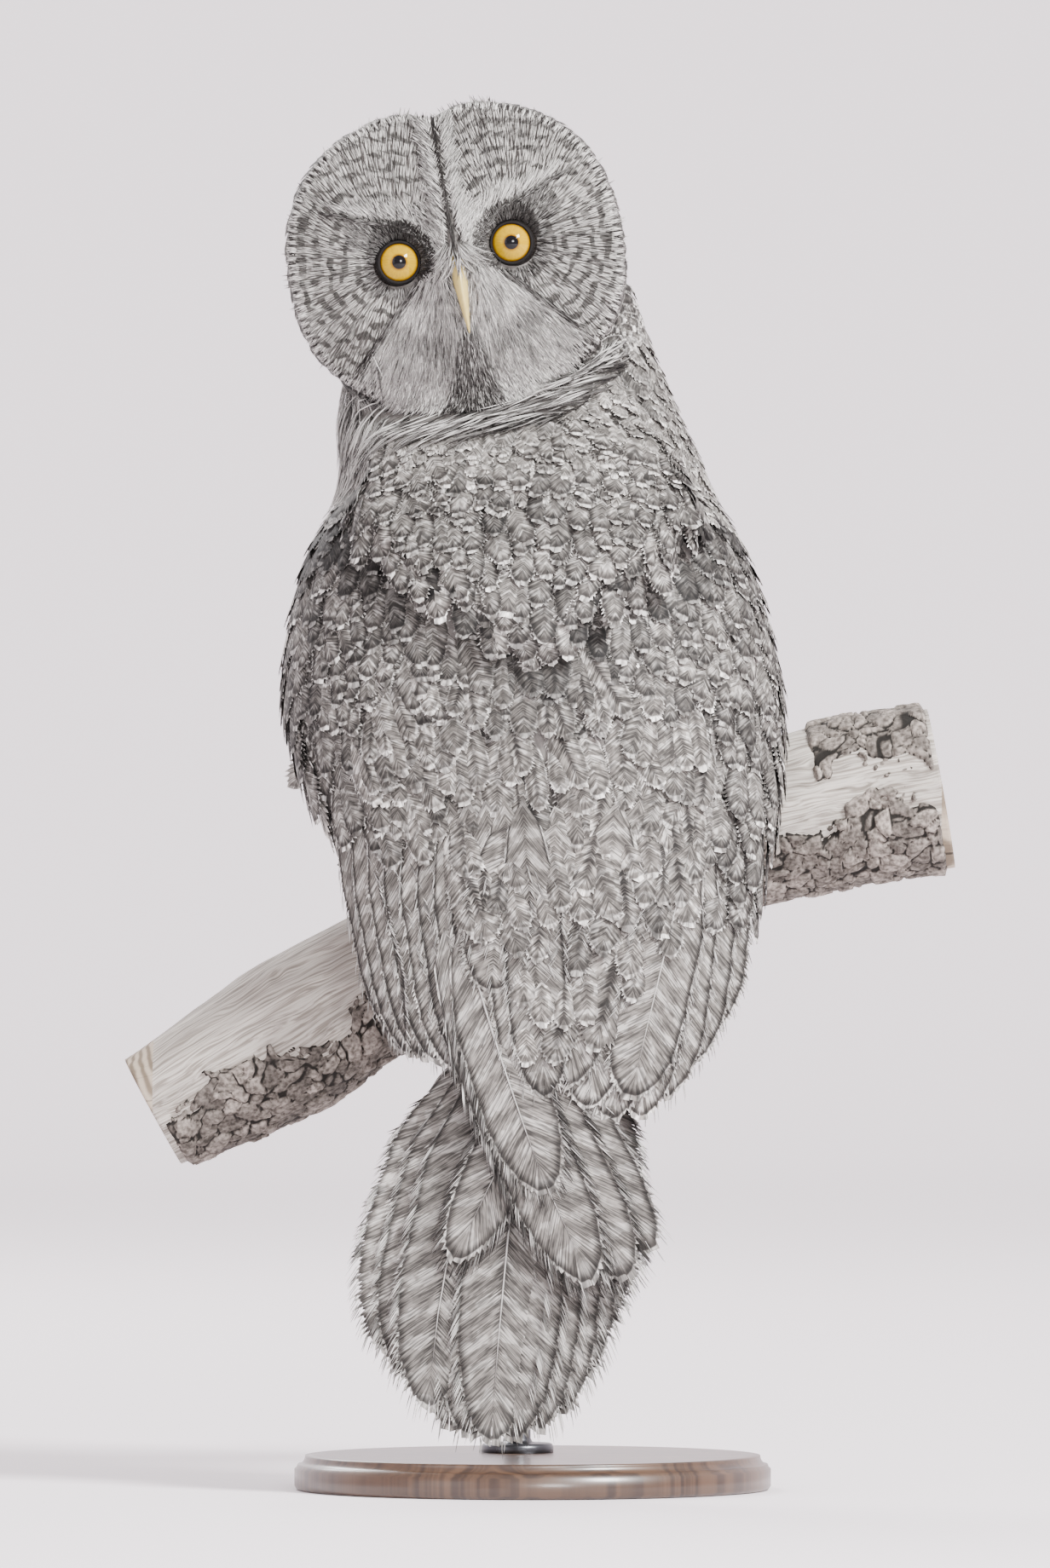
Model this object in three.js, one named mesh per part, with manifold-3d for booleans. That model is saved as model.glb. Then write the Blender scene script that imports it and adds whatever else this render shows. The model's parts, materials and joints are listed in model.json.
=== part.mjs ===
// A life-size great grey owl on a cut length of pine branch, held by a plain display stand.
// Millimetres, +Z up. The bird's back faces -Y and its breast faces +Y, and its head is turned right round,
// so that the face looks along -Y over the back. +X is to the right of someone who stands behind the bird.
// The origin is the middle of the stand's underside.

import * as THREE from "three";
import { mergeVertices } from "three/addons/utils/BufferGeometryUtils.js";
import Module from "manifold-3d";

const wasm = await Module();
wasm.setup();

// The clearance between touching nodes, and the shortest edge that a mesh keeps.
const GAP = 0.3;
const FINEST = 0.02;

const deg = THREE.MathUtils.degToRad;
const BACK = deg(270);

// Body outlines. Each row is a level cut: its height, then how far the outline lies left, right, back and
// front of the origin.
const TORSO_ROWS = [
  [242, 38, 40, 90, -58],
  [300, 66, 72, 95, -32],
  [345, 93, 97, 99, -18],
  [374, 109, 113, 100, 2],
  [401, 120, 122, 99, 76],
  [441, 123, 120, 96, 108],
  [490, 112, 107, 84, 102],
  [535, 103, 93, 62, 84],
];
const NECK_ROWS = [
  [535, 103, 93, 62, 84],
  [562, 104, 81, 58, 82],
  [596, 98, 67, 34, 78],
  [632, 86, 56, 18, 66],
];
const CLOAK_ROWS = [
  [185, 58, 60, 103, -60],
  [222, 70, 90, 106, -55],
  [267, 87, 112, 108, -40],
  [312, 101, 123, 110, 0],
  [356, 119, 132, 111, 40],
  [401, 133, 135, 110, 90],
  [441, 134, 131, 106, 103],
  [490, 122, 116, 94, 97],
  [522, 104, 97, 76, 88],
];
const MANTLE_ROWS = [
  [425, 128, 128, 114, 60],
  [470, 125, 121, 110, 60],
  [513, 110, 103, 95, 60],
  [540, 103, 93, 80, 60],
  [572, 98, 78, 62, 60],
];
const SQUARENESS = 2.25;

// The folded wings are shells that lie over the torso.
const WING_SHELL = 10;
const WING_CORE_FOOT = 286;
const WING_TOP = 522;
const WING_SPAN = deg(105);

// The head has its own frame: x to the right of the face, y into the head, z up the midline.
const HEAD = {
  centre: new THREE.Vector3(-40, 2, 645),
  roll: deg(10),
  halfWidth: 90,
  up: 82,
  down: 78,
  squareness: 2.4,
  ridgeOut: 65,
  sideFall: 30,
  topFall: 20,
  backOut: 74,
  crownNotch: 7,
};
const EYE = { apart: 59.4, height: 2, ball: 14, lidPlane: -54, opening: 9.85, dish: 9, dishSpread: 27 };
const RUFF = { count: 32, inward: 13, stickOut: 3.6, lap: 1.1 };

// Each half of the bill follows a line of [y, z] places from its root to its tip.
const UPPER_BILL = {
  width: 12.5,
  depth: 25,
  fullness: 0.85,
  line: [[-52, -5], [-64, -9], [-70.5, -22], [-71, -38.5]],
};
const LOWER_BILL = {
  width: 9.5,
  depth: 10,
  fullness: 0.6,
  line: [[-52, -21], [-60.5, -27], [-66.5, -34]],
};
const NOSTRIL = { radius: 1.5, apart: 10.4, y: -69, z: -11.5 };

// The branch: its centre line in side view, and how thick it is.
const PERCH = { left: -200, right: 215, y: 34, sway: 4, barkThickness: 3.2 };
const PERCH_LINE = [
  [-200, 198],
  [-132, 235],
  [-87, 262],
  [-2, 305],
  [78, 338],
  [130, 353],
  [215, 368],
];
const PERCH_RADIUS = [
  [-200, 32],
  [-132, 40],
  [-87, 37],
  [0, 37],
  [130, 41],
  [215, 42],
];

const STAND = {
  baseRadius: 125,
  baseThickness: 18,
  bevel: 3,
  rodX: -8,
  rodRadius: 7,
  flangeRadius: 19,
  flangeHeight: 5,
};

const FEET = { x: 40, toeRadius: 7.8, toeSpread: 10, claw: 22, clawRadius: 3.1 };
const TAIL = {
  rootHeight: 236,
  rootSpread: 22,
  count: 12,
  width: 49,
  thickness: 0.8,
  layer: 1.25,
  lean: 0.09,
  top: -74,
};

// A repeatable draw from 0 to 1.
let seed = 7;
function draw() {
  seed = (seed * 16807) % 2147483647;
  return seed / 2147483647;
}

// A smooth function through [position, value] pairs, level beyond its ends.
function curveThrough(pairs) {
  const at = pairs.map((pair) => pair[0]);
  const value = pairs.map((pair) => pair[1]);
  const last = at.length - 1;
  const slope = at.map((_, i) => {
    const before = Math.max(0, i - 1);
    const after = Math.min(last, i + 1);
    return (value[after] - value[before]) / (at[after] - at[before]);
  });
  return (x) => {
    if (x <= at[0]) return value[0];
    if (x >= at[last]) return value[last];
    const i = at.findIndex((position) => position > x) - 1;
    const wide = at[i + 1] - at[i];
    const t = (x - at[i]) / wide;
    const rise = t * t * (3 - 2 * t);
    return (
      value[i] + (value[i + 1] - value[i]) * rise +
      wide * (slope[i] * t * (1 - t) * (1 - t) - slope[i + 1] * t * t * (1 - t))
    );
  };
}

// A closed geometry as a solid, turned right way out if its faces point inwards.
function solid(geometry) {
  const bare = geometry.index ? geometry.toNonIndexed() : geometry.clone();
  bare.deleteAttribute("normal");
  bare.deleteAttribute("uv");
  const merged = mergeVertices(bare, 1e-3);
  const make = (triVerts) =>
    new wasm.Manifold(
      new wasm.Mesh({ numProp: 3, vertProperties: merged.attributes.position.array, triVerts }),
    );
  const made = make(new Uint32Array(merged.index.array));
  if (made.volume() > 0) return made;
  return make(new Uint32Array(merged.index.array).reverse());
}

function union(solids) {
  return wasm.Manifold.union(solids);
}

// A solid as a mesh: its largest closed surface, without loose scraps.
function node(name, made, look) {
  const pieces = made.simplify(FINEST).decompose().sort((a, b) => b.volume() - a.volume());
  const mesh = pieces[0].getMesh();
  const geometry = new THREE.BufferGeometry();
  const positions = new Float32Array(mesh.numVert * 3);
  for (let i = 0; i < mesh.numVert; i++) {
    positions.set(mesh.vertProperties.subarray(i * mesh.numProp, i * mesh.numProp + 3), i * 3);
  }
  geometry.setAttribute("position", new THREE.BufferAttribute(positions, 3));
  geometry.setIndex(new THREE.BufferAttribute(mesh.triVerts, 1));
  geometry.computeVertexNormals();
  const part = new THREE.Mesh(geometry, look);
  part.name = name;
  return part;
}

// Moves every point of a closed cylinder: place(angle, share) gives its side, share running 0 to 1 upwards.
function loft(place, sides, rings) {
  const geometry = new THREE.CylinderGeometry(1, 1, 1, sides, rings);
  const position = geometry.attributes.position;
  for (let i = 0; i < position.count; i++) {
    const x = position.getX(i);
    const z = position.getZ(i);
    const share = position.getY(i) + 0.5;
    const point = new THREE.Vector3();
    if (Math.hypot(x, z) > 0.5) point.copy(place(Math.atan2(z, x), share));
    else for (let k = 0; k < 4; k++) point.addScaledVector(place((k * Math.PI) / 2, share), 0.25);
    position.setXYZ(i, point.x, point.y, point.z);
  }
  return solid(geometry);
}

// How far a grown loft reaches past its ends.
function beyondEnds(share, grow) {
  if (share > 0.999) return grow;
  return share < 0.001 ? -grow : 0;
}

// A body outline made from level cuts.
class Hull {
  constructor(rows, sides, rings) {
    this.low = rows[0][0];
    this.high = rows[rows.length - 1][0];
    const column = (k) => curveThrough(rows.map((row) => [row[0], row[k]]));
    this.left = column(1);
    this.right = column(2);
    this.back = column(3);
    this.front = column(4);
    this.sides = sides;
    this.rings = rings;
  }

  // The surface point at an angle round the body, measured from +X towards +Y, and a height.
  point(angle, z, grow = 0) {
    const c = Math.cos(angle);
    const s = Math.sin(angle);
    const k = (Math.abs(c) ** SQUARENESS + Math.abs(s) ** SQUARENESS) ** (-1 / SQUARENESS);
    const wide = (this.right(z) + this.left(z)) / 2 + grow;
    const deep = (this.front(z) + this.back(z)) / 2 + grow;
    return new THREE.Vector3(
      (this.right(z) - this.left(z)) / 2 + wide * c * k,
      (this.front(z) - this.back(z)) / 2 + deep * s * k,
      z,
    );
  }

  // Which way the surface faces there.
  out(angle, z) {
    const step = 0.01;
    const round = this.point(angle + step, z).sub(this.point(angle - step, z));
    const up = this.point(angle, z + 2).sub(this.point(angle, z - 2));
    return round.cross(up).normalize();
  }

  solid(grow = 0, low = this.low, high = this.high) {
    const place = (angle, share) => {
      const point = this.point(angle, low + share * (high - low), grow);
      point.z += beyondEnds(share, grow);
      return point;
    };
    return loft(place, this.sides, this.rings);
  }
}

const torsoHull = new Hull(TORSO_ROWS, 28, 11);
const neckHull = new Hull(NECK_ROWS, 26, 4);
const cloak = new Hull(CLOAK_ROWS, 36, 12);
const mantleHull = new Hull(MANTLE_ROWS, 30, 7);

// A four-sided cone whose two flat faces are split into triangles alike, so that they don't cross when it
// bends.
function flatCone(stations) {
  const geometry = new THREE.ConeGeometry(1, 1, 4, stations);
  const index = geometry.index.array;
  for (let side = 0; side < 4; side++) {
    for (let row = 1; row < stations && side % 2; row++) {
      const at = 3 * (side * (2 * stations - 1) + 2 * row - 1);
      const [a, b, d, , c] = index.slice(at, at + 5);
      index.set([a, b, c, a, c, d], at);
    }
  }
  return geometry;
}

// A feather's width at a share of its length, as a part of its greatest: narrow at the root and round at the
// tip.
function featherWidth(t, blunt) {
  const tip = Math.max(0, (t - blunt) / (1 - blunt));
  return (0.55 + 0.45 * Math.min(1, t / 0.35)) * Math.sqrt(Math.max(0.0004, 1 - tip ** 2));
}

// A flat, tapered feather with a raised shaft. The path gives its shaft from root to tip, out the way it
// faces, camber how far its edges bend back, and tilt how far one edge stands above the other.
function feather({ path, out, width, thickness, camber, tilt = 0, blunt = 0.45, stations = 4, grow = 0 }) {
  const geometry = flatCone(stations);
  const position = geometry.attributes.position;
  for (let i = 0; i < position.count; i++) {
    const share = position.getY(i) + 0.5;
    const t = 1 - (1 - share) ** 1.5;
    const along = path(Math.min(1, t + 0.05)).sub(path(Math.max(0, t - 0.05))).normalize();
    const side = along.clone().cross(out(t)).normalize();
    const face = side.clone().cross(along).normalize();
    const half = (width / 2) * featherWidth(t, blunt) + grow;
    const fromShaft = Math.hypot(position.getX(i), position.getZ(i));
    const across = fromShaft > 1e-6 ? position.getX(i) / fromShaft : 0;
    const rise = fromShaft > 1e-6 ? position.getZ(i) / fromShaft : 0;
    const lift = -camber * across * across + tilt * across + (thickness / 2 + grow) * rise;
    const point = path(t).addScaledVector(side, half * across).addScaledVector(face, lift);
    point.addScaledVector(along, beyondEnds(share, grow));
    position.setXYZ(i, point.x, point.y, point.z);
  }
  return solid(geometry);
}

// A feather that lies along a body outline, its root sunk in the surface and its tip standing off it.
function lyingFeather(hull, { from, to, sink = 3, lift = 3, ...shape }) {
  const angle = (t) => from[0] + (to[0] - from[0]) * t;
  const height = (t) => from[1] + (to[1] - from[1]) * t;
  const off = (t) => -sink + (sink + lift) * Math.min(1, t * 1.6);
  return feather({
    path: (t) => hull.point(angle(t), height(t)).addScaledVector(hull.out(angle(t), height(t)), off(t)),
    out: (t) => hull.out(angle(t), height(t)),
    ...shape,
  });
}

// Everything on one side of the bird's midline, less half the gap between the wings.
function halfSpace(side) {
  const reach = 800;
  const block = new THREE.BoxGeometry(reach, reach, reach);
  return solid(block.translate((side * (reach + GAP)) / 2, 0, reach / 2));
}

// The way from the middle of the back round to a wing's front edge, share 0 to 1.
function wingAngle(side, share) {
  return BACK + side * share * WING_SPAN;
}

// The folded wing without its feathers: a shell over the torso, from the middle of the back round to its
// front edge.
function wingShell(side) {
  const geometry = new THREE.BoxGeometry(1, 1, 1, 8, 6, 1);
  const position = geometry.attributes.position;
  for (let i = 0; i < position.count; i++) {
    const share = 1.05 * (position.getX(i) + 0.5) - 0.05;
    const z = WING_CORE_FOOT + (position.getY(i) + 0.5) * (WING_TOP - WING_CORE_FOOT);
    const edge = Math.min(1, 3 * (1 - share), (3 * (WING_TOP - z)) / 60 + 0.35);
    const depth = position.getZ(i) > 0 ? WING_SHELL * (edge - 1) * 0.6 : -WING_SHELL;
    const point = cloak.point(wingAngle(side, share), z, depth);
    position.setXYZ(i, point.x, point.y, point.z);
  }
  return solid(geometry);
}

// Rows of overlapping flight feathers and coverts, the lowest row first. Each has its count, the height of
// its roots, its tips' height from the back to the front edge, its feathers' width, how far their tips stand
// off and how far they close up towards the back. The right wing hangs lower than the left one.
const WING_TIPS = [[0, 212], [0.45, 212], [0.75, 228], [1, 268]];
const WING_TIERS = [
  { count: 5, root: 292, tips: WING_TIPS, width: 46, lift: 0.5, close: 0.94 },
  { count: 5, root: 356, tips: [[0, 272], [1, 290]], width: 46, lift: 3, close: 0.96 },
  { count: 5, root: 404, tips: [[0, 330], [1, 345]], width: 46, lift: 3.2, close: 0.98 },
  { count: 5, root: 448, tips: [[0, 378], [1, 392]], width: 46, lift: 3.2, close: 1 },
  { count: 4, root: 490, tips: [[0, 425], [1, 436]], width: 48, lift: 3, close: 1 },
];
const RIGHT_TIP_DROP = 24;

function wingFeathers(side) {
  const made = [];
  WING_TIERS.forEach((tier, row) => {
    const tips = curveThrough(tier.tips);
    for (let i = 0; i < tier.count; i++) {
      const share = (i + (row % 2 ? 0.3 : 0.6)) / tier.count;
      const drop = side > 0 && row === 0 ? RIGHT_TIP_DROP * Math.sin(Math.PI * Math.min(1, share * 1.4)) : 0;
      const low = tips(share) - drop;
      made.push(
        lyingFeather(cloak, {
          from: [wingAngle(side, share), tier.root + 6 * draw()],
          to: [wingAngle(side, share * tier.close), low + 5 * draw()],
          width: tier.width,
          thickness: 1.2,
          camber: 1.6,
          tilt: side * 0.9,
          lift: tier.lift,
        }),
      );
    }
  });
  return made;
}

// Four long inner feathers of the right wing that lie over both wings along the middle of the back.
const TERTIALS = [
  { from: [12, 350], to: [3, 236], width: 52, lift: 5.5 },
  { from: [-14, 350], to: [-20, 262], width: 44, lift: 4.5 },
  { from: [42, 356], to: [38, 250], width: 50, lift: 4.6 },
  { from: [66, 350], to: [62, 226], width: 46, lift: 4.2 },
];

function tertials(grow = 0) {
  return TERTIALS.map(({ from, to, width, lift }) => {
    const angle = (x) => BACK + x / 118;
    return lyingFeather(cloak, {
      from: [angle(from[0]), from[1]],
      to: [angle(to[0]), to[1]],
      width,
      thickness: 1.2,
      camber: 1.8,
      tilt: 0.8,
      lift,
      sink: -0.4,
      grow,
    });
  });
}

// The wing tips that cross over the tail: where each leaves its wing, where its tip lies, its width and its
// depth.
const LEFT_PRIMARIES = [
  { from: [-36, 296], to: [8, 158], width: 40, y: -104.6 },
  { from: [-46, 296], to: [31, 111], width: 42, y: -102.8 },
  { from: [-36, 296], to: [50, 113], width: 40, y: -101 },
  { from: [-26, 296], to: [62, 127], width: 36, y: -99.2 },
];
const RIGHT_PRIMARIES = [
  { from: [34, 296], to: [-42, 122], width: 36, y: -96.6 },
  { from: [46, 296], to: [-22, 144], width: 34, y: -94.9 },
];

function primaries(rows, grow = 0) {
  const between = (a, b, t) => a + (b - a) * t;
  return rows.map(({ from, to, width, y }) =>
    feather({
      path: (t) => new THREE.Vector3(between(from[0], to[0], t ** 1.15), y, between(from[1], to[1], t)),
      out: () => new THREE.Vector3(0, -1, 0),
      width,
      thickness: 0.9,
      camber: 0.9,
      stations: 6,
      grow,
    }),
  );
}

// Heart-shaped shield of back feathers that hangs over both wings.
function mantleShield(grow = 0) {
  const shape = new THREE.Shape();
  shape.moveTo(-130, 522);
  shape.bezierCurveTo(-104, 550 + grow, -60, 560 + grow, -8, 560 + grow);
  shape.bezierCurveTo(50, 562 + grow, 108, 556 + grow, 130, 526);
  shape.bezierCurveTo(96, 492 - grow, 40, 474 - grow, 1, 438 - grow);
  shape.bezierCurveTo(-38, 470 - grow, -96, 488 - grow, -130, 522);
  const prism = new THREE.ExtrudeGeometry(shape, { depth: 160, bevelEnabled: false, curveSegments: 6 });
  prism.rotateX(Math.PI / 2);
  return mantleHull.solid(grow).intersect(solid(prism));
}

// The shield's lower edge and a row above it, as overlapping feathers. Each row says how high it sits above
// the edge and how long its feathers are.
const MANTLE_EDGE = curveThrough([
  [-1, 500],
  [-0.6, 470],
  [-0.3, 452],
  [0, 430],
  [0.3, 452],
  [0.6, 474],
  [1, 504],
]);
const MANTLE_TIERS = [
  { count: 9, above: 0, length: 44, width: 30 },
  { count: 8, above: 30, length: 44, width: 32 },
];

function mantleFeathers(grow = 0) {
  const made = [];
  for (const tier of MANTLE_TIERS) {
    for (let i = 0; i < tier.count; i++) {
      const share = ((i + 0.5) / tier.count) * 2 - 1;
      const low = MANTLE_EDGE(share) + tier.above;
      made.push(
        lyingFeather(mantleHull, {
          from: [BACK + share * 0.95, Math.min(low + tier.length, 552)],
          to: [BACK + share * 0.82, low],
          width: tier.width,
          thickness: 1.2,
          camber: 1.3,
          tilt: share > 0 ? 0.7 : -0.7,
          lift: 1.4,
          stations: 3,
          grow,
        }),
      );
    }
  }
  return made;
}

// Tail feathers from the left edge to the right one: where the tips lie.
const TAIL_TIP_X = curveThrough([[0, -74], [0.25, -46], [0.5, -16], [0.75, 16], [1, 39]]);
const TAIL_TIP_Z = curveThrough([[0, 74], [0.25, 38], [0.5, 28], [0.75, 46], [1, 104]]);

function tail() {
  const made = [
    loft((angle, share) => {
      const wide = 36 - 10 * share;
      const deep = 17 - 8 * share;
      return new THREE.Vector3(
        wide * Math.cos(angle),
        TAIL.top - 4 + 8 * share + deep * Math.sin(angle) * 0.9,
        241.7 - 46 * share,
      );
    }, 16, 3),
  ];
  for (let i = 0; i < TAIL.count; i++) {
    const share = i / (TAIL.count - 1);
    const fromMiddle = Math.abs(i - (TAIL.count - 1) / 2) - 0.5;
    const depth = TAIL.layer * (2 * fromMiddle + (share > 0.5 ? 1 : 0));
    const x0 = (share * 2 - 1) * TAIL.rootSpread;
    const bend = 1.15 + 0.7 * Math.abs(share * 2 - 1);
    made.push(
      feather({
        path: (t) => {
          const z = TAIL.rootHeight + (TAIL_TIP_Z(share) - TAIL.rootHeight) * t;
          const x = x0 + (TAIL_TIP_X(share) - x0) * (1 - (1 - t) ** bend);
          return new THREE.Vector3(x, TAIL.top - TAIL.lean * (300 - z) + depth, z);
        },
        out: () => new THREE.Vector3(0, -1, 0),
        width: TAIL.width,
        thickness: TAIL.thickness,
        camber: 0.8,
        blunt: 0.62,
        stations: 7,
      }),
    );
  }
  return union(made);
}

const headGroup = new THREE.Group();
headGroup.position.copy(HEAD.centre);
headGroup.rotation.y = -HEAD.roll;
headGroup.updateMatrix();

// How far from the face's middle its rim lies, in a direction.
function rim(turn, notched = 1) {
  const upward = Math.sin(turn) > 0;
  const across = Math.abs(Math.cos(turn)) / HEAD.halfWidth;
  const along = Math.abs(Math.sin(turn)) / (upward ? HEAD.up : HEAD.down);
  const plain = (across ** HEAD.squareness + along ** HEAD.squareness) ** (-1 / HEAD.squareness);
  const notch = HEAD.crownNotch * Math.exp(-((Math.cos(turn) / 0.13) ** 2));
  return upward ? plain - notched * notch : plain;
}

// The depth of the face at a place on it: two shallow dishes round the eyes, a ridge between them, and a
// raised rim.
function faceDepth(x, z) {
  const turn = Math.atan2(z, x);
  const share = Math.hypot(x, z) / rim(turn);
  const dome =
    -HEAD.ridgeOut +
    HEAD.sideFall * Math.abs(x / HEAD.halfWidth) ** 1.7 +
    HEAD.topFall * Math.abs(z / (z > 0 ? HEAD.up : HEAD.down)) ** 2.2;
  const fromEye = Math.hypot(Math.abs(x) - EYE.apart / 2, z - EYE.height);
  const dish = EYE.dish * Math.exp(-((fromEye / EYE.dishSpread) ** 2));
  const ridge = -4 * Math.exp(-((x / 9) ** 2)) * Math.exp(-(((z - 12) / 46) ** 4));
  const lip = -4 * Math.exp(-(((share - 0.95) / 0.06) ** 2));
  return dome + dish + ridge + lip;
}

function headShell() {
  const geometry = new THREE.SphereGeometry(1, 30, 19);
  geometry.rotateX(Math.PI / 2);
  const position = geometry.attributes.position;
  const faceShare = 0.58;
  for (let i = 0; i < position.count; i++) {
    const across = Math.hypot(position.getX(i), position.getZ(i));
    const turn = across > 1e-6 ? Math.atan2(position.getZ(i), position.getX(i)) : 0;
    const share = Math.atan2(across, -position.getY(i)) / Math.PI / faceShare;
    const edge = rim(turn);
    let r = edge * share;
    let y = faceDepth(r * Math.cos(turn), r * Math.sin(turn));
    if (share >= 1) {
      const round = ((share - 1) / (1 / faceShare - 1)) * (Math.PI / 2);
      const front = faceDepth(edge * Math.cos(turn), edge * Math.sin(turn));
      const bulge = 1 + 0.05 * Math.sin(2 * round);
      r = rim(turn, Math.cos(round) ** 3) * Math.cos(round) ** 0.9 * bulge;
      y = front + (HEAD.backOut - front) * Math.sin(round);
    }
    position.setXYZ(i, r * Math.cos(turn), y, r * Math.sin(turn));
  }
  return solid(geometry);
}

// The ruff round the rim of the face: a ring of short stiff feathers, each lapping over the next.
function ruff() {
  const steps = 3;
  const around = RUFF.count * steps;
  const geometry = new THREE.TorusGeometry(2, 1, 4, around);
  const position = geometry.attributes.position;
  for (let i = 0; i < position.count; i++) {
    const turn = Math.atan2(position.getY(i), position.getX(i));
    const fromRim = Math.hypot(position.getX(i), position.getY(i)) - 2;
    const phase = (Math.round((turn / (2 * Math.PI)) * around) + around) % steps;
    const edge = rim(turn);
    const flush = faceDepth(edge * Math.cos(turn), edge * Math.sin(turn));
    let [r, y] = [edge - 4, flush + 12];
    if (fromRim > 0.5) [r, y] = [edge + (phase ? RUFF.stickOut : 0), flush + 5];
    else if (fromRim < -0.5) [r, y] = [edge - RUFF.inward, flush + 3];
    else if (position.getZ(i) > 0.5) [r, y] = [edge - 5, flush - 1 - RUFF.lap * phase];
    position.setXYZ(i, r * Math.cos(turn), y, r * Math.sin(turn));
  }
  return solid(geometry);
}

function eyeCentre(side) {
  const back = Math.sqrt(EYE.ball ** 2 - EYE.opening ** 2);
  return new THREE.Vector3((side * EYE.apart) / 2, EYE.lidPlane + back, EYE.height);
}

function eyeball(side, grow = 0) {
  const ball = new THREE.SphereGeometry(EYE.ball + grow, 16, 8);
  ball.rotateX(Math.PI / 2);
  const c = eyeCentre(side);
  return solid(ball.translate(c.x, c.y, c.z));
}

function lids(side) {
  const ring = new THREE.TorusGeometry(EYE.opening + 1.3, 2.3, 5, 16);
  ring.rotateX(Math.PI / 2);
  const c = eyeCentre(side);
  return solid(ring.translate(c.x, EYE.lidPlane + 0.6, c.z));
}

// Half a bill: a tapering hook through [y, z] places in the head's middle plane.
function hook({ width, depth, fullness, line }, sides, rings, grow) {
  const curve = new THREE.CatmullRomCurve3(line.map(([y, z]) => new THREE.Vector3(0, y, z)));
  const place = (angle, share) => {
    const along = curve.getTangent(share);
    const over = new THREE.Vector3(0, -along.z, along.y);
    const taper = (1 - share) ** fullness / 2;
    const point = curve.getPoint(share);
    point.addScaledVector(over, (depth * taper + 0.3 + grow) * Math.sin(angle));
    point.x += (width * taper + 0.3 + grow) * Math.cos(angle);
    return point.addScaledVector(along, beyondEnds(share, grow));
  };
  return loft(place, sides, rings);
}

function upperBill(grow = 0) {
  return hook(UPPER_BILL, 10, 6, grow);
}

function lowerBill(grow = 0) {
  return hook(LOWER_BILL, 8, 4, grow);
}

function nostril(side) {
  const pit = new THREE.SphereGeometry(NOSTRIL.radius, 8, 6);
  pit.scale(1.1, 1.4, 1);
  return solid(pit.translate((side * NOSTRIL.apart) / 2, NOSTRIL.y, NOSTRIL.z));
}

const perchHeight = curveThrough(PERCH_LINE);
const perchRadius = curveThrough(PERCH_RADIUS);

// A point at a distance from the branch's centre line. The angle goes from its top towards +Y.
function besidePerch(x, angle, distance) {
  const inner = THREE.MathUtils.clamp(x, PERCH.left + 1, PERCH.right - 1);
  const slope = (perchHeight(inner + 1) - perchHeight(inner - 1)) / 2;
  const up = new THREE.Vector3(-slope, 0, 1).normalize();
  const y = PERCH.y + PERCH.sway * Math.sin(x / 70);
  return new THREE.Vector3(x, y, perchHeight(x))
    .addScaledVector(up, distance * Math.cos(angle))
    .add(new THREE.Vector3(0, distance * Math.sin(angle), 0));
}

function lump(x, angle) {
  return 0.9 * Math.sin(3 * angle + x / 23) + 0.8 * Math.sin(2 * angle - x / 37);
}

function perch(grow = 0) {
  return loft((angle, share) => {
    const x = PERCH.left + share * (PERCH.right - PERCH.left) + beyondEnds(share, grow);
    return besidePerch(x, angle, perchRadius(x) + lump(x, angle) + grow);
  }, 16, 12);
}

// A sheet of bark over part of the branch, with a ragged edge. Edges gives its angles at each step along it.
function bark(from, to, edges, steps, grow = 0) {
  const round = 5;
  const geometry = new THREE.BoxGeometry(1, 1, 1, steps, round, 1);
  const position = geometry.attributes.position;
  for (let i = 0; i < position.count; i++) {
    const u = position.getX(i) + 0.5;
    const x = from - grow + u * (to - from + 2 * grow);
    const [a, b] = edges(Math.round(u * steps));
    const extra = grow / perchRadius(x);
    const angle = a - extra + (position.getY(i) + 0.5) * (b - a + 2 * extra);
    const outer = position.getZ(i) > 0;
    const rough = outer ? PERCH.barkThickness + 0.7 * Math.sin(x / 6 + angle * 5) : 0;
    const distance = perchRadius(x) + lump(x, angle) + rough + (outer ? GAP + grow : -1.5 - grow);
    const point = besidePerch(x, angle, distance);
    position.setXYZ(i, point.x, point.y, point.z);
  }
  return solid(geometry);
}

function lowerBark(grow = 0) {
  const jag = (i, k) => deg(11) * Math.sin(i * 1.9 + k) + deg(7) * Math.sin(i * 4.3 + 2 * k);
  return bark(PERCH.left + 3, PERCH.right, (i) => [deg(126) + jag(i, 1), deg(262) + jag(i, 0)], 16, grow);
}

function upperBark() {
  const jag = (i) => deg(9) * Math.sin(i * 2.1 + 1);
  return bark(158, PERCH.right, (i) => [deg(-58 - 3 * i) + jag(i), deg(30 + 4 * i) + jag(i + 3)], 6);
}

// A foot: four feathered toes round a pad. Each toe says how far it lies along the branch from the pad, and
// where round the branch it ends.
const TOES = [
  { along: -1, sweep: 66, size: 1 },
  { along: 0.9, sweep: 74, size: 1 },
  { along: -0.9, sweep: -58, size: 0.94 },
  { along: 1, sweep: -50, size: 0.9 },
];

// A point beside a line that runs round the branch, thick away from it at an angle from along the branch to
// outwards.
function roundPerch(x, turn, distance, thick, angle) {
  const out = besidePerch(x, turn, distance + 1).sub(besidePerch(x, turn, distance));
  const point = besidePerch(x, turn, distance).addScaledVector(out, thick * Math.sin(angle));
  point.x += thick * Math.cos(angle);
  return point;
}

function toe(side, { along, sweep, size }) {
  const place = (angle, share) => {
    const x = side * FEET.x + along * FEET.toeSpread * (0.35 + share);
    const radius = FEET.toeRadius * size * (1 - 0.22 * share);
    const thick = share > 0.999 ? 0.75 * radius : radius;
    return roundPerch(x, deg(sweep) * share, perchRadius(x) + 1.9 + radius, thick, angle);
  };
  return loft(place, 6, 3);
}

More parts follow.
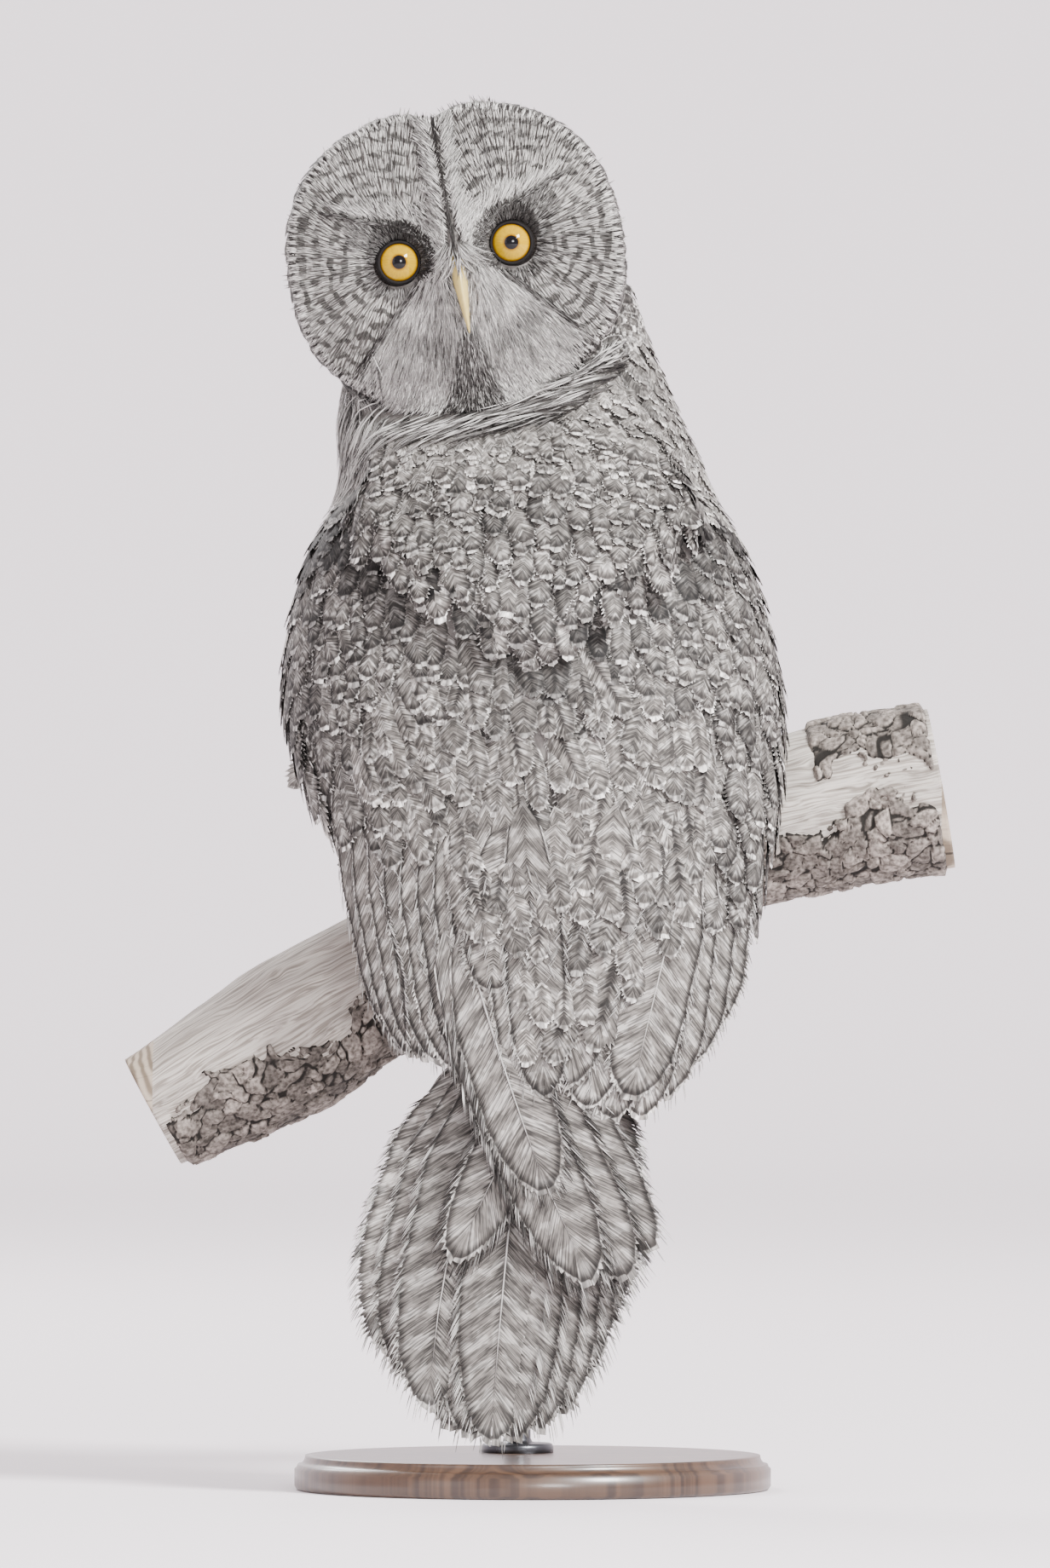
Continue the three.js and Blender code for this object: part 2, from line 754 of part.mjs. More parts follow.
function footPad(side) {
  const ball = new THREE.SphereGeometry(1, 10, 6);
  ball.scale(16, 14, 11);
  const c = besidePerch(side * FEET.x, deg(4), perchRadius(side * FEET.x) + 8);
  return solid(ball.translate(c.x, c.y, c.z));
}

function foot(side) {
  return union([footPad(side), ...TOES.map((each) => toe(side, each))]);
}

// A curved claw that carries on from its toe, down round the branch.
function claw(side, { along, sweep, size }, grow = 0) {
  const place = (angle, share) => {
    const x = side * FEET.x + along * FEET.toeSpread * (1.33 + 0.25 * share);
    const r = perchRadius(x);
    const past = (FEET.claw * size * share + beyondEnds(share, grow)) / r;
    const turn = 0.99 * deg(sweep) + Math.sign(sweep) * past;
    const thick = FEET.clawRadius * size * (1 - share) ** 0.7 + 0.35 + grow;
    const rise = 6.6 + 1.5 * Math.sin(Math.PI * share) - 4.4 * share;
    return roundPerch(x, turn, r + rise, thick, angle);
  };
  return loft(place, 5, 4);
}

const legWidth = curveThrough([[0, 15.5], [0.25, 22], [0.6, 31], [1, 42]]);

// The feathered shank and thigh, from inside the belly down to the foot.
function leg(side, grow = 0) {
  const ankle = besidePerch(side * FEET.x, 0, perchRadius(side * FEET.x) + 12);
  const hip = new THREE.Vector3(side * 52, 26, 412);
  return loft((angle, share) => {
    const wide = legWidth(share) + grow;
    const middle = ankle.clone().lerp(hip, share);
    const z = middle.z + beyondEnds(share, grow);
    return new THREE.Vector3(middle.x + wide * Math.cos(angle), middle.y + wide * 0.95 * Math.sin(angle), z);
  }, 12, 4);
}

// A profile of [radius, height] places turned round the upright axis.
function turned(profile, sides) {
  const points = profile.map(([radius, height]) => new THREE.Vector2(radius, height));
  return new THREE.LatheGeometry(points, sides).rotateX(Math.PI / 2);
}

function standBase() {
  const { baseRadius: r, baseThickness: h, bevel } = STAND;
  return solid(turned([[0, 0], [r - 1, 0], [r, 1], [r, h - bevel], [r - bevel, h], [0, h]], 40));
}

// The rod stands on a small flange, and runs up into the branch until it is cut to meet it.
function standRod() {
  const { baseThickness, rodRadius: r, flangeRadius: f, flangeHeight } = STAND;
  const foot = baseThickness + GAP;
  const neck = foot + flangeHeight;
  const top = perchHeight(STAND.rodX);
  const profile = [[0, foot], [f, foot], [f, neck - 1], [f - 1, neck], [r, neck], [r, top], [0, top]];
  return solid(turned(profile, 20).translate(STAND.rodX, PERCH.y, 0));
}

const looks = {
  plumage: new THREE.MeshStandardMaterial({ color: 0x8b8e8c, roughness: 0.9 }),
  face: new THREE.MeshStandardMaterial({ color: 0xa3a6a4, roughness: 0.9 }),
  feet: new THREE.MeshStandardMaterial({ color: 0x9a9c98, roughness: 0.9 }),
  iris: new THREE.MeshStandardMaterial({ color: 0xe8cf4a, roughness: 0.1 }),
  horn: new THREE.MeshStandardMaterial({ color: 0xd9c88c, roughness: 0.4 }),
  claw: new THREE.MeshStandardMaterial({ color: 0x1c1b1b, roughness: 0.35 }),
  wood: new THREE.MeshStandardMaterial({ color: 0xb9aea0, roughness: 0.8 }),
  bark: new THREE.MeshStandardMaterial({ color: 0x6a625a, roughness: 0.95 }),
  standWood: new THREE.MeshStandardMaterial({ color: 0x2b2623, roughness: 0.5 }),
  standSteel: new THREE.MeshStandardMaterial({ color: 0x2b2b2c, roughness: 0.45, metalness: 0.6 }),
};

function build() {
  const inHead = (made) => made.transform(headGroup.matrix.clone().invert().elements);
  const socket = union([-1, 1].map((side) => eyeball(side, GAP)));
  const bill = upperBill().subtract(union([nostril(-1), nostril(1)]));
  const lower = lowerBill().subtract(upperBill(GAP));
  const head = union([headShell(), ruff(), lids(-1), lids(1)])
    .subtract(socket)
    .subtract(upperBill(GAP))
    .subtract(lowerBill(GAP))
    .subtract(inHead(neckHull.solid(GAP)));

  const torso = torsoHull.solid().subtract(perch(GAP));
  const torsoRoom = torsoHull.solid(GAP);
  const neck = neckHull.solid(0, NECK_ROWS[0][0] + GAP);
  const neckRoom = neckHull.solid(GAP);
  const mantle = union([mantleShield(), ...mantleFeathers()])
    .subtract(torsoRoom)
    .subtract(neckRoom);
  const mantleRoom = union([mantleShield(GAP), ...mantleFeathers(GAP)]);

  const bodyRoom = union([torsoRoom, mantleRoom, neckRoom, perch(GAP), lowerBark(GAP)]);
  const leftTips = primaries(LEFT_PRIMARIES);
  const leftTipRoom = union(primaries(LEFT_PRIMARIES, GAP));
  const rightWing = union([
    union([wingShell(1), ...wingFeathers(1)]).intersect(halfSpace(1)).subtract(leftTipRoom),
    ...tertials(),
    ...primaries(RIGHT_PRIMARIES),
  ]).subtract(bodyRoom);
  const rightRoom = union([...tertials(GAP), ...primaries(RIGHT_PRIMARIES, GAP)]);
  const leftWing = union([union([wingShell(-1), ...wingFeathers(-1)]).intersect(halfSpace(-1)), ...leftTips])
    .subtract(rightRoom)
    .subtract(bodyRoom);

  const group = new THREE.Group();
  group.add(headGroup);
  headGroup.add(node("head", head, looks.face));
  headGroup.add(node("eye_left", eyeball(-1), looks.iris));
  headGroup.add(node("eye_right", eyeball(1), looks.iris));
  headGroup.add(node("bill_upper", bill, looks.horn));
  headGroup.add(node("bill_lower", lower, looks.horn));
  const add = (name, made, look) => group.add(node(name, made, look));
  add("neck", neck, looks.plumage);
  add("torso", torso, looks.plumage);
  add("mantle", mantle, looks.plumage);
  add("wing_left", leftWing, looks.plumage);
  add("wing_right", rightWing, looks.plumage);
  add("tail", tail().subtract(torsoRoom), looks.plumage);
  ["left", "right"].forEach((word, i) => {
    const side = i ? 1 : -1;
    const clawRoom = union(TOES.map((each) => claw(side, each, GAP)));
    add(`leg_${word}`, leg(side).subtract(torsoRoom), looks.feet);
    const free = foot(side).subtract(perch(GAP)).subtract(leg(side, GAP));
    add(`foot_${word}`, free.subtract(clawRoom), looks.feet);
    TOES.forEach((each, k) => add(`claw_${word}_${k + 1}`, claw(side, each), looks.claw));
  });
  add("perch", perch(), looks.wood);
  add("bark_lower", lowerBark().subtract(perch(GAP)), looks.bark);
  add("bark_upper", upperBark().subtract(perch(GAP)), looks.bark);
  add("stand_base", standBase(), looks.standWood);
  add("stand_rod", standRod().subtract(perch(GAP)).subtract(lowerBark(GAP)), looks.standSteel);
  return group;
}

export default build();
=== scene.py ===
"""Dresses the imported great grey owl: skin, plumage, face, eyes, bill, claws, branch and display stand.

The owl sits on a cut branch with its back to the camera and its head turned right round. Body tables are in
millimetres, as in the part's source, and every finished mesh is in metres in the part's own frame.
"""

import json
import logging
import math
from dataclasses import dataclass
from enum import Enum
from typing import Callable, Sequence

import bmesh
import bpy
import numpy as np
from mathutils import Matrix, Vector, noise
from mathutils.bvhtree import BVHTree
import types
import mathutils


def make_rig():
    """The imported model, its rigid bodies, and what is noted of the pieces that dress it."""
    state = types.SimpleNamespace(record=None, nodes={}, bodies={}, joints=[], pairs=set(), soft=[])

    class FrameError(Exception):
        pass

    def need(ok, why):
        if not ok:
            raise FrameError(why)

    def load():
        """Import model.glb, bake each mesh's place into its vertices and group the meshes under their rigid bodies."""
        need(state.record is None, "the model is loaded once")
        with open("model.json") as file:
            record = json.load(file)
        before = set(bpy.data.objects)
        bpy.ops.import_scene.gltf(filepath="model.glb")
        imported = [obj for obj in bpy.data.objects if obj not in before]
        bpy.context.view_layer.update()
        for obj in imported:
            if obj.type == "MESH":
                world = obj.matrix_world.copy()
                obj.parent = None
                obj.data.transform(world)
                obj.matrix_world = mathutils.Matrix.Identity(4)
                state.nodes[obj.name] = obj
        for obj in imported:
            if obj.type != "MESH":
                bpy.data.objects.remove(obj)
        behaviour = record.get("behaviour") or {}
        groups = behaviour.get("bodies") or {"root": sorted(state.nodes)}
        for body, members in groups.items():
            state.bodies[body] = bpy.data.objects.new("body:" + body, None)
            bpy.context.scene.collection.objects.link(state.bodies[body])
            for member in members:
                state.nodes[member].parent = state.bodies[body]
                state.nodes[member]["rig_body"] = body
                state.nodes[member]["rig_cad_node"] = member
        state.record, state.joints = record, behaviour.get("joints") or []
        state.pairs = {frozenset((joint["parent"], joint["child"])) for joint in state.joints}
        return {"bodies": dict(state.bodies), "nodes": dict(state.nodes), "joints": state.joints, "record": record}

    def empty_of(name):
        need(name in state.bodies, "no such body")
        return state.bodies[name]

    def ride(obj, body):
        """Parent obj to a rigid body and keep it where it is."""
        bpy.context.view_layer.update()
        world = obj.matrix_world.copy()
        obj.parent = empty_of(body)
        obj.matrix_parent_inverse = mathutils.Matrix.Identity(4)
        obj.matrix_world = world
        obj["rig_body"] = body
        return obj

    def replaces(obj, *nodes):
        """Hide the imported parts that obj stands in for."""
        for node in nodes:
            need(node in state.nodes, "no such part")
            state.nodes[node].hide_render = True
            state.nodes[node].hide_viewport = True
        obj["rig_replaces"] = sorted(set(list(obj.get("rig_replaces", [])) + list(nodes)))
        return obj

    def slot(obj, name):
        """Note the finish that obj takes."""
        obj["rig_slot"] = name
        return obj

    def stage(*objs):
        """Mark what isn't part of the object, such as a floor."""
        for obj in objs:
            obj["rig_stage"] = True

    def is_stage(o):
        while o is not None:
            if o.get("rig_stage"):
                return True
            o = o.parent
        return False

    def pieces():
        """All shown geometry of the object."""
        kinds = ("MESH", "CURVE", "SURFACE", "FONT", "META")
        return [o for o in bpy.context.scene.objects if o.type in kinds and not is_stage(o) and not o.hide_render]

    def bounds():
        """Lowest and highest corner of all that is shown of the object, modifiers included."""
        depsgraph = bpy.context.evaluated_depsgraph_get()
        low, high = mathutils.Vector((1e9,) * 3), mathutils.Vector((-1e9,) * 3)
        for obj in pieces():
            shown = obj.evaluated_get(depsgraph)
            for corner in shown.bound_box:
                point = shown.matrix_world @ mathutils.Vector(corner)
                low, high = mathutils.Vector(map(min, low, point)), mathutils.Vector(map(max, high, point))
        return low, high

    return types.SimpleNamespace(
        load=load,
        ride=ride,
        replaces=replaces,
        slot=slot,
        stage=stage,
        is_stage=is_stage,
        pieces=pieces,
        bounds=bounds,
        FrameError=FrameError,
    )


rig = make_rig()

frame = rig.load()
CAD_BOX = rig.bounds()

LOG = logging.getLogger("owl")
MM = 0.001
BODY = "root"
BACK = math.radians(270)
SIZE_FILE = "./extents.json"

Array = np.ndarray
Field = Callable[[Array], Array]
Surface = Callable[[Array, Array], Array]
Colour = tuple[float, float, float]


class Side(Enum):
    """The two sides of the bird, as someone behind it sees them."""

    LEFT = -1
    RIGHT = 1


def unit(vectors: Array) -> Array:
    """Returns the vectors at length one."""
    return vectors / np.maximum(np.linalg.norm(vectors, axis=-1, keepdims=True), 1e-9)


def steps(value: Array, low: float, high: float) -> Array:
    """Returns a smooth rise from 0 at low to 1 at high, or a fall where low is the larger."""
    share = np.clip((value - low) / (high - low), 0, 1)
    return share * share * (3 - 2 * share)


def within(value: Array, low: Array | float, high: Array | float) -> Array:
    """Returns whether each value lies between two others."""
    return (value > low) & (value < high)


class Curve:
    """A smooth function through [position, value] pairs, level beyond its ends."""

    def __init__(self, pairs: Sequence[Sequence[float]]) -> None:
        """Takes the pairs in order of position."""
        self.at, self.value = (np.array(column, float) for column in zip(*pairs))
        count = len(self.at)
        before = np.maximum(np.arange(count) - 1, 0)
        after = np.minimum(np.arange(count) + 1, count - 1)
        self.slope = (self.value[after] - self.value[before]) / (self.at[after] - self.at[before])

    def __call__(self, x: Array | float) -> Array:
        """Returns the value at each position."""
        x = np.clip(np.asarray(x, float), self.at[0], self.at[-1])
        i = np.clip(np.searchsorted(self.at, x, side="right") - 1, 0, len(self.at) - 2)
        wide = self.at[i + 1] - self.at[i]
        t = (x - self.at[i]) / wide
        rise = t * t * (3 - 2 * t)
        bend = self.slope[i] * t * (1 - t) ** 2 - self.slope[i + 1] * t * t * (1 - t)
        return self.value[i] + (self.value[i + 1] - self.value[i]) * rise + wide * bend


class Hull:
    """A body outline made from level cuts: height, then how far it lies left, right, back and front."""

    SQUARENESS = 2.25

    def __init__(self, rows: Sequence[Sequence[float]]) -> None:
        """Takes the rows from the lowest up."""
        self.low, self.high = rows[0][0], rows[-1][0]
        self.left, self.right, self.back, self.front = (
            Curve([(row[0], row[k]) for row in rows]) for k in range(1, 5)
        )

    def point(self, angle: Array, z: Array, grow: Array | float = 0.0) -> Array:
        """Returns surface points.

        Args:
            angle: The way round the body, from +X towards +Y, in radians.
            z: Heights in millimetres.
            grow: How far outside the outline, in millimetres.

        Returns:
            The points in millimetres, one a row.
        """
        angle, z = np.broadcast_arrays(np.asarray(angle, float), np.asarray(z, float))
        c, s = np.cos(angle), np.sin(angle)
        n = self.SQUARENESS
        k = (np.abs(c) ** n + np.abs(s) ** n) ** (-1 / n)
        wide = (self.right(z) + self.left(z)) / 2 + grow
        deep = (self.front(z) + self.back(z)) / 2 + grow
        x = (self.right(z) - self.left(z)) / 2 + wide * c * k
        y = (self.front(z) - self.back(z)) / 2 + deep * s * k
        return np.stack([x, y, z], axis=-1)

    def out(self, angle: Array, z: Array) -> Array:
        """Returns which way the surface faces at each place."""
        around = self.point(angle + 0.01, z) - self.point(angle - 0.01, z)
        up = self.point(angle, z + 2) - self.point(angle, z - 2)
        return unit(np.cross(around, up))


TORSO_ROWS = [
    [242, 38, 40, 90, -58], [300, 66, 72, 95, -32], [345, 93, 97, 99, -18], [374, 109, 113, 100, 2],
    [401, 120, 122, 99, 76], [441, 123, 120, 96, 108], [490, 112, 107, 84, 102], [535, 103, 93, 62, 84],
]
NECK_ROWS = [
    [535, 103, 93, 62, 84], [562, 104, 81, 58, 82], [596, 98, 67, 34, 78], [632, 86, 56, 18, 66],
]
CLOAK_ROWS = [
    [185, 58, 60, 103, -60], [222, 70, 90, 106, -55], [267, 87, 112, 108, -40], [312, 101, 123, 110, 0],
    [356, 119, 132, 111, 40], [401, 133, 135, 110, 90], [441, 134, 131, 106, 103], [490, 122, 116, 94, 97],
    [522, 104, 97, 76, 88],
]
MANTLE_ROWS = [
    [425, 128, 128, 114, 60], [470, 125, 121, 110, 60], [513, 110, 103, 95, 60], [540, 103, 93, 80, 60],
    [572, 98, 78, 62, 60],
]
TRUNK = Hull(TORSO_ROWS + NECK_ROWS[1:])
CLOAK = Hull(CLOAK_ROWS)
MANTLE = Hull(MANTLE_ROWS)
MANTLE_EDGE = Curve([(-1, 500), (-0.6, 470), (-0.3, 452), (0, 430), (0.3, 452), (0.6, 474), (1, 504)])
MANTLE_HALF_WIDTH = 108
WING_SPAN = math.radians(105)


def mantle_low(x: Array) -> Array:
    """Returns the height of the mantle's edge at each place across the back, in millimetres."""
    return MANTLE_EDGE(x / MANTLE_HALF_WIDTH)


@dataclass(frozen=True)
class HeadForm:
    """The head in its own frame: x to the right of the face, y into the head, z up the midline."""

    centre: Colour = (-40, 2, 645)
    roll: float = math.radians(10)
    half_width: float = 90
    up: float = 82
    down: float = 78
    squareness: float = 2.4
    ridge_out: float = 65
    side_fall: float = 30
    top_fall: float = 20
    back_out: float = 74
    crown_notch: float = 7
    face_share: float = 0.58
    eye_apart: float = 59.4
    eye_height: float = 2
    dish: float = 9
    dish_spread: float = 27

    @property
    def turned(self) -> Array:
        """The head's rotation as a matrix that takes its frame to the world's."""
        return np.array(Matrix.Rotation(-self.roll, 3, "Y"))

    def world(self, local: Array) -> Array:
        """Returns points of the head's frame, in millimetres, as places in metres."""
        return (local @ self.turned.T + np.array(self.centre)) * MM

    def local(self, places: Array) -> Array:
        """Returns places in metres as points of the head's frame, in millimetres."""
        return (places / MM - np.array(self.centre)) @ self.turned

    def rim(self, turn: Array, notched: Array | float = 1.0) -> Array:
        """Returns how far from the face's middle its rim lies in each direction."""
        upward = np.sin(turn) > 0
        across = np.abs(np.cos(turn)) / self.half_width
        along = np.abs(np.sin(turn)) / np.where(upward, self.up, self.down)
        plain = (across**self.squareness + along**self.squareness) ** (-1 / self.squareness)
        notch = self.crown_notch * np.exp(-((np.cos(turn) / 0.13) ** 2))
        return plain - np.where(upward, notched * notch, 0)

    def share(self, x: Array, z: Array) -> Array:
        """Returns how far out each place of the face lies, 1 being the rim."""
        return np.hypot(x, z) / self.rim(np.arctan2(z, x))

    def from_eye(self, x: Array, z: Array) -> Array:
        """Returns each place's distance from the nearer eye, in the plane of the face."""
        return np.hypot(np.abs(x) - self.eye_apart / 2, z - self.eye_height)

    def depth(self, x: Array, z: Array) -> Array:
        """Returns the depth of the face at each place: two dishes, a ridge between them and a raised rim."""
        share = self.share(x, z)
        tall = np.where(z > 0, self.up, self.down)
        dome = -self.ridge_out + self.side_fall * np.abs(x / self.half_width) ** 1.7
        dome = dome + self.top_fall * np.abs(z / tall) ** 2.2
        dish = self.dish * np.exp(-((self.from_eye(x, z) / self.dish_spread) ** 2))
        ridge = -4 * np.exp(-((x / 9) ** 2)) * np.exp(-(((z - 12) / 46) ** 4))
        lip = -4 * np.exp(-(((share - 0.95) / 0.06) ** 2))
        return dome + dish + ridge + lip

    def shell(self, turn: Array, way: Array) -> Array:
        """Returns points of the whole head.

        Args:
            turn: The direction round the face, in radians.
            way: 0 at the middle of the face, 1 at the back of the head.

        Returns:
            The points in the head's frame, in millimetres.
        """
        share = way / self.face_share
        edge = self.rim(turn)
        r_face = edge * np.minimum(share, 1)
        y_face = self.depth(r_face * np.cos(turn), r_face * np.sin(turn))
        rounding = np.clip((share - 1) / (1 / self.face_share - 1), 0, 1) * math.pi / 2
        bulge = 1 + 0.05 * np.sin(2 * rounding)
        r_back = self.rim(turn, np.cos(rounding) ** 3) * np.cos(rounding).clip(0) ** 0.9 * bulge
        y_back = y_face + (self.back_out - y_face) * np.sin(rounding)
        r = np.where(share > 1, r_back, r_face)
        y = np.where(share > 1, y_back, y_face)
        return np.stack([r * np.cos(turn), y, r * np.sin(turn)], axis=-1)


HEAD = HeadForm()


# Meshes


def formed_grid(
    columns: int, rows: int, place: Surface, weld: float = 1e-6
) -> bmesh.types.BMesh:
    """Bends a flat grid into a surface and welds what meets.

    Args:
        columns: Faces across.
        rows: Faces along.
        place: Gives metres for shares across and along, 0 to 1.
        weld: Points nearer than this become one.

    Returns:
        The surface, its faces turned the same way.
    """
    bm = bmesh.new()
    bmesh.ops.create_grid(bm, x_segments=columns, y_segments=rows, size=0.5)
    flat = np.array([v.co[:2] for v in bm.verts]) + 0.5
    for vert, point in zip(bm.verts, place(flat[:, 0], flat[:, 1])):
        vert.co = point
    if weld:
        bmesh.ops.remove_doubles(bm, verts=bm.verts[:], dist=weld)
    bmesh.ops.recalc_face_normals(bm, faces=bm.faces[:])
    return bm


def capped(
    ring: Surface, columns: int, rows: int, caps: int = 3
) -> bmesh.types.BMesh:
    """Makes a closed tube from a ring function of an angle and a share from end to end.

    Args:
        ring: Gives metres for angles in radians and shares 0 to 1.
        columns: Faces round the tube.
        rows: Faces along it, with those of its ends.
        caps: Rows that close each end.

    Returns:
        The closed tube.
    """

    def place(u: Array, v: Array) -> Array:
        angle = 2 * math.pi * u
        row = v * rows
        share = np.clip((row - caps) / (rows - 2 * caps), 0, 1)
        open_ = np.clip(np.minimum(row, rows - row) / caps, 0, 1)[:, None]
        quarter = [ring(np.full_like(share, k * math.pi / 2), share) for k in range(4)]
        middle = sum(quarter) / 4
        return middle + (ring(angle, share) - middle) * open_

    return formed_grid(columns, rows, place)


def absorb(bm: bmesh.types.BMesh, other: bmesh.types.BMesh) -> None:
    """Adds the second bmesh to the first and frees it."""
    mesh = bpy.data.meshes.new("absorbed")
    other.to_mesh(mesh)
    other.free()
    bm.from_mesh(mesh)
    bpy.data.meshes.remove(mesh)


def slab(
    top: Surface, bottom: Surface, columns: int, rows: int,
    coarser: int = 1, weld: float = 1e-6,
) -> bmesh.types.BMesh:
    """Makes a closed plate between two surfaces.

    Args:
        top: The outer surface, in metres, for shares across and along.
        bottom: The inner surface.
        columns: Faces across.
        rows: Faces along.
        coarser: How many times coarser the inner surface's grid is.
        weld: Points of the outer surface that are nearer than this become one.

    Returns:
        The closed plate.
    """
    bm = formed_grid(columns, rows, top, weld)
    absorb(bm, formed_grid(columns // coarser, rows // coarser, bottom))
    bmesh.ops.bridge_loops(bm, edges=[edge for edge in bm.edges if edge.is_boundary])
    bmesh.ops.recalc_face_normals(bm, faces=bm.faces[:])
    return bm


def placed(name: str, mesh: bpy.types.Mesh, material: bpy.types.Material, slot: str) -> bpy.types.Object:
    """Puts a mesh in the scene as a piece that rides on the body.

    Args:
        name: The piece's name.
        mesh: Its mesh, in the part's frame.
        material: Its finish.
        slot: The record's material slot.

    Returns:
        The piece.
    """
    piece = bpy.data.objects.new(name, mesh)
    bpy.context.scene.collection.objects.link(piece)
    mesh.materials.append(material)
    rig.ride(piece, BODY)
    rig.slot(piece, slot)
    LOG.info("%s: %d faces", name, len(mesh.polygons))
    return piece


def mark_points(mesh: bpy.types.Mesh, name: str, values: Array) -> None:
    """Keeps three values for each point of a mesh, for its finish to read."""
    made = mesh.attributes.new(name, "FLOAT_VECTOR", "POINT")
    made.data.foreach_set("vector", np.asarray(values, np.float32).ravel())


def from_bmesh(
    name: str, bm: bmesh.types.BMesh, material: bpy.types.Material, slot: str
) -> bpy.types.Object:
    """Turns a bmesh into a piece.

    Args:
        name: The piece's name.
        bm: Its shape, which is freed.
        material: Its finish.
        slot: The record's material slot.

    Returns:
        The piece.
    """
    for face in bm.faces:
        face.smooth = True
    mesh = bpy.data.meshes.new(name)
    bm.to_mesh(mesh)
    bm.free()
    return placed(name, mesh, material, slot)


# Feathers and strands


@dataclass(frozen=True)
class Template:
    """One closed shape that a coat repeats, as shares of its length and half width.

    Each point lies on a barb, which leaves the shaft at stem and ends at (reach_across, reach_along); side is
    the point's share of that way, below zero on the left. Points with the same twin lie over each other on the
    two faces of the feather.
    """

    side: Array
    reach_across: Array
    reach_along: Array
    stem: Array
    rise: Array
    ragged: Array
    twin: Array
    faces: Array

    @staticmethod
    def read(bm: bmesh.types.BMesh, columns: dict[str, Array]) -> "Template":
        """Takes a template from a bmesh with its points' shares, and frees it."""
        faces = np.array([[v.index for v in face.verts] for face in bm.faces])
        bm.free()
        return Template(faces=faces, **columns)


def outline(t: Array, blunt: float, root: float) -> Array:
    """Returns a feather's half width at a share of its length, as a part of its greatest."""
    tip = np.clip((t - blunt) / (1 - blunt), 0, 1)
    return (root + (1 - root) * np.clip(t / 0.35, 0, 1)) * np.sqrt(np.maximum(1 - tip**2, 1e-4))


def vane_template(
    teeth: int,
    inner: int = 1,
    blunt: float = 0.5,
    root: float = 0.4,
    shaft: float = 0.8,
    notch: float = 0.8,
    hidden: float = 0.3,
) -> Template:
    """Makes a feather: two sheets that meet at a toothed edge, with a shaft line down the middle.

    Args:
        teeth: Barb ends on each side.
        inner: Columns of faces between the shaft and the edge.
        blunt: Where the outline starts to close.
        root: The outline's width at its root.
        shaft: Where the shaft ends, as a share of the length.
        notch: How far out the gaps between the teeth reach.
        hidden: The share of the length that others cover, which has no teeth.

    Returns:
        The template.
    """
    plain_rows = 2
    rows = plain_rows + 2 * teeth
    bm = bmesh.new()
    bmesh.ops.create_grid(bm, x_segments=2 * inner, y_segments=rows, size=1)
    flat = np.array([v.co[:2] for v in bm.verts])
    out = np.round(flat[:, 0] * inner) / inner
    row = np.round((flat[:, 1] + 1) / 2 * rows).astype(int)
    way = np.where(row <= plain_rows, hidden * row / plain_rows, 0)
    way = np.where(row > plain_rows, hidden + (1 - hidden) * (row - plain_rows) / (2 * teeth), way)
    toothed = row >= plain_rows
    reach = np.where(toothed & ((row - plain_rows) % 2 == 0) & (row < rows), notch, 1.0)
    stem = shaft * way
    edge_along = 0.1 + 0.9 * way**0.92
    edge_across = outline(edge_along, blunt, root)
    f = np.abs(out)
    side = np.sign(out) * np.where(f > 0.99, reach, f)
    rise = (1 - f) ** 0.7
    ragged = np.where((f > 0.99) & toothed, np.where(reach == 1, 1.0, 0.5), 0.0)
    count = len(flat)
    bmesh.ops.duplicate(bm, geom=bm.verts[:] + bm.edges[:] + bm.faces[:])
    bm.faces.ensure_lookup_table()
    bmesh.ops.reverse_faces(bm, faces=bm.faces[len(bm.faces) // 2:])
    bm.verts.index_update()
    twice = [np.tile(a, 2) for a in (side, edge_across, edge_along, stem, ragged, np.arange(count))]
    return Template.read(bm, {
        "side": twice[0], "reach_across": twice[1], "reach_along": twice[2], "stem": twice[3],
        "rise": np.repeat([1.0, -1.0], count) * np.tile(rise, 2), "ragged": twice[4], "twin": twice[5],
    })


def strand_template(rings: int = 3) -> Template:
    """Makes a closed three-sided strand, thickest a third of the way along and pointed at both ends."""
    bm = bmesh.new()
    bmesh.ops.create_cone(bm, segments=3, radius1=1, radius2=1, depth=1, cap_ends=False)
    bmesh.ops.subdivide_edges(
        bm, edges=[e for e in bm.edges if abs(e.verts[0].co.z - e.verts[1].co.z) > 0.5], cuts=rings - 1
    )
    low = [v for v in bm.verts if v.co.z < -0.49]
    high = [v for v in bm.verts if v.co.z > 0.49]
    bmesh.ops.pointmerge(bm, verts=low, merge_co=(0, 0, -0.5))
    bmesh.ops.pointmerge(bm, verts=high, merge_co=(0, 0, 0.5))
    bmesh.ops.triangulate(bm, faces=bm.faces[:])
    bmesh.ops.recalc_face_normals(bm, faces=bm.faces[:])
    bm.verts.index_update()
    at = np.array([v.co[:] for v in bm.verts])
    along = at[:, 2] + 0.5
    full = np.sin(np.pi * np.clip(along, 0, 1) ** 0.6) ** 0.8
    full = np.where((along < 1e-3) | (along > 1 - 1e-3), 0, full)
    return Template.read(bm, {
        "side": at[:, 0] * full, "reach_across": np.ones(len(at)), "reach_along": along, "stem": along,
        "rise": at[:, 1] * full, "ragged": np.zeros(len(at)), "twin": np.arange(len(at)),
    })


@dataclass
class Plumes:
    """Where many feathers lie, and their sizes in millimetres. Each has its own row in every array."""

    path: Array
    normal: Array
    width: Array
    patch: Array
    tone: Array
    thick: float = 0.3
    camber: float = 0.12
    tilt: float = 0.0
    fray: float = 0.35
    tooth: float = 0.3


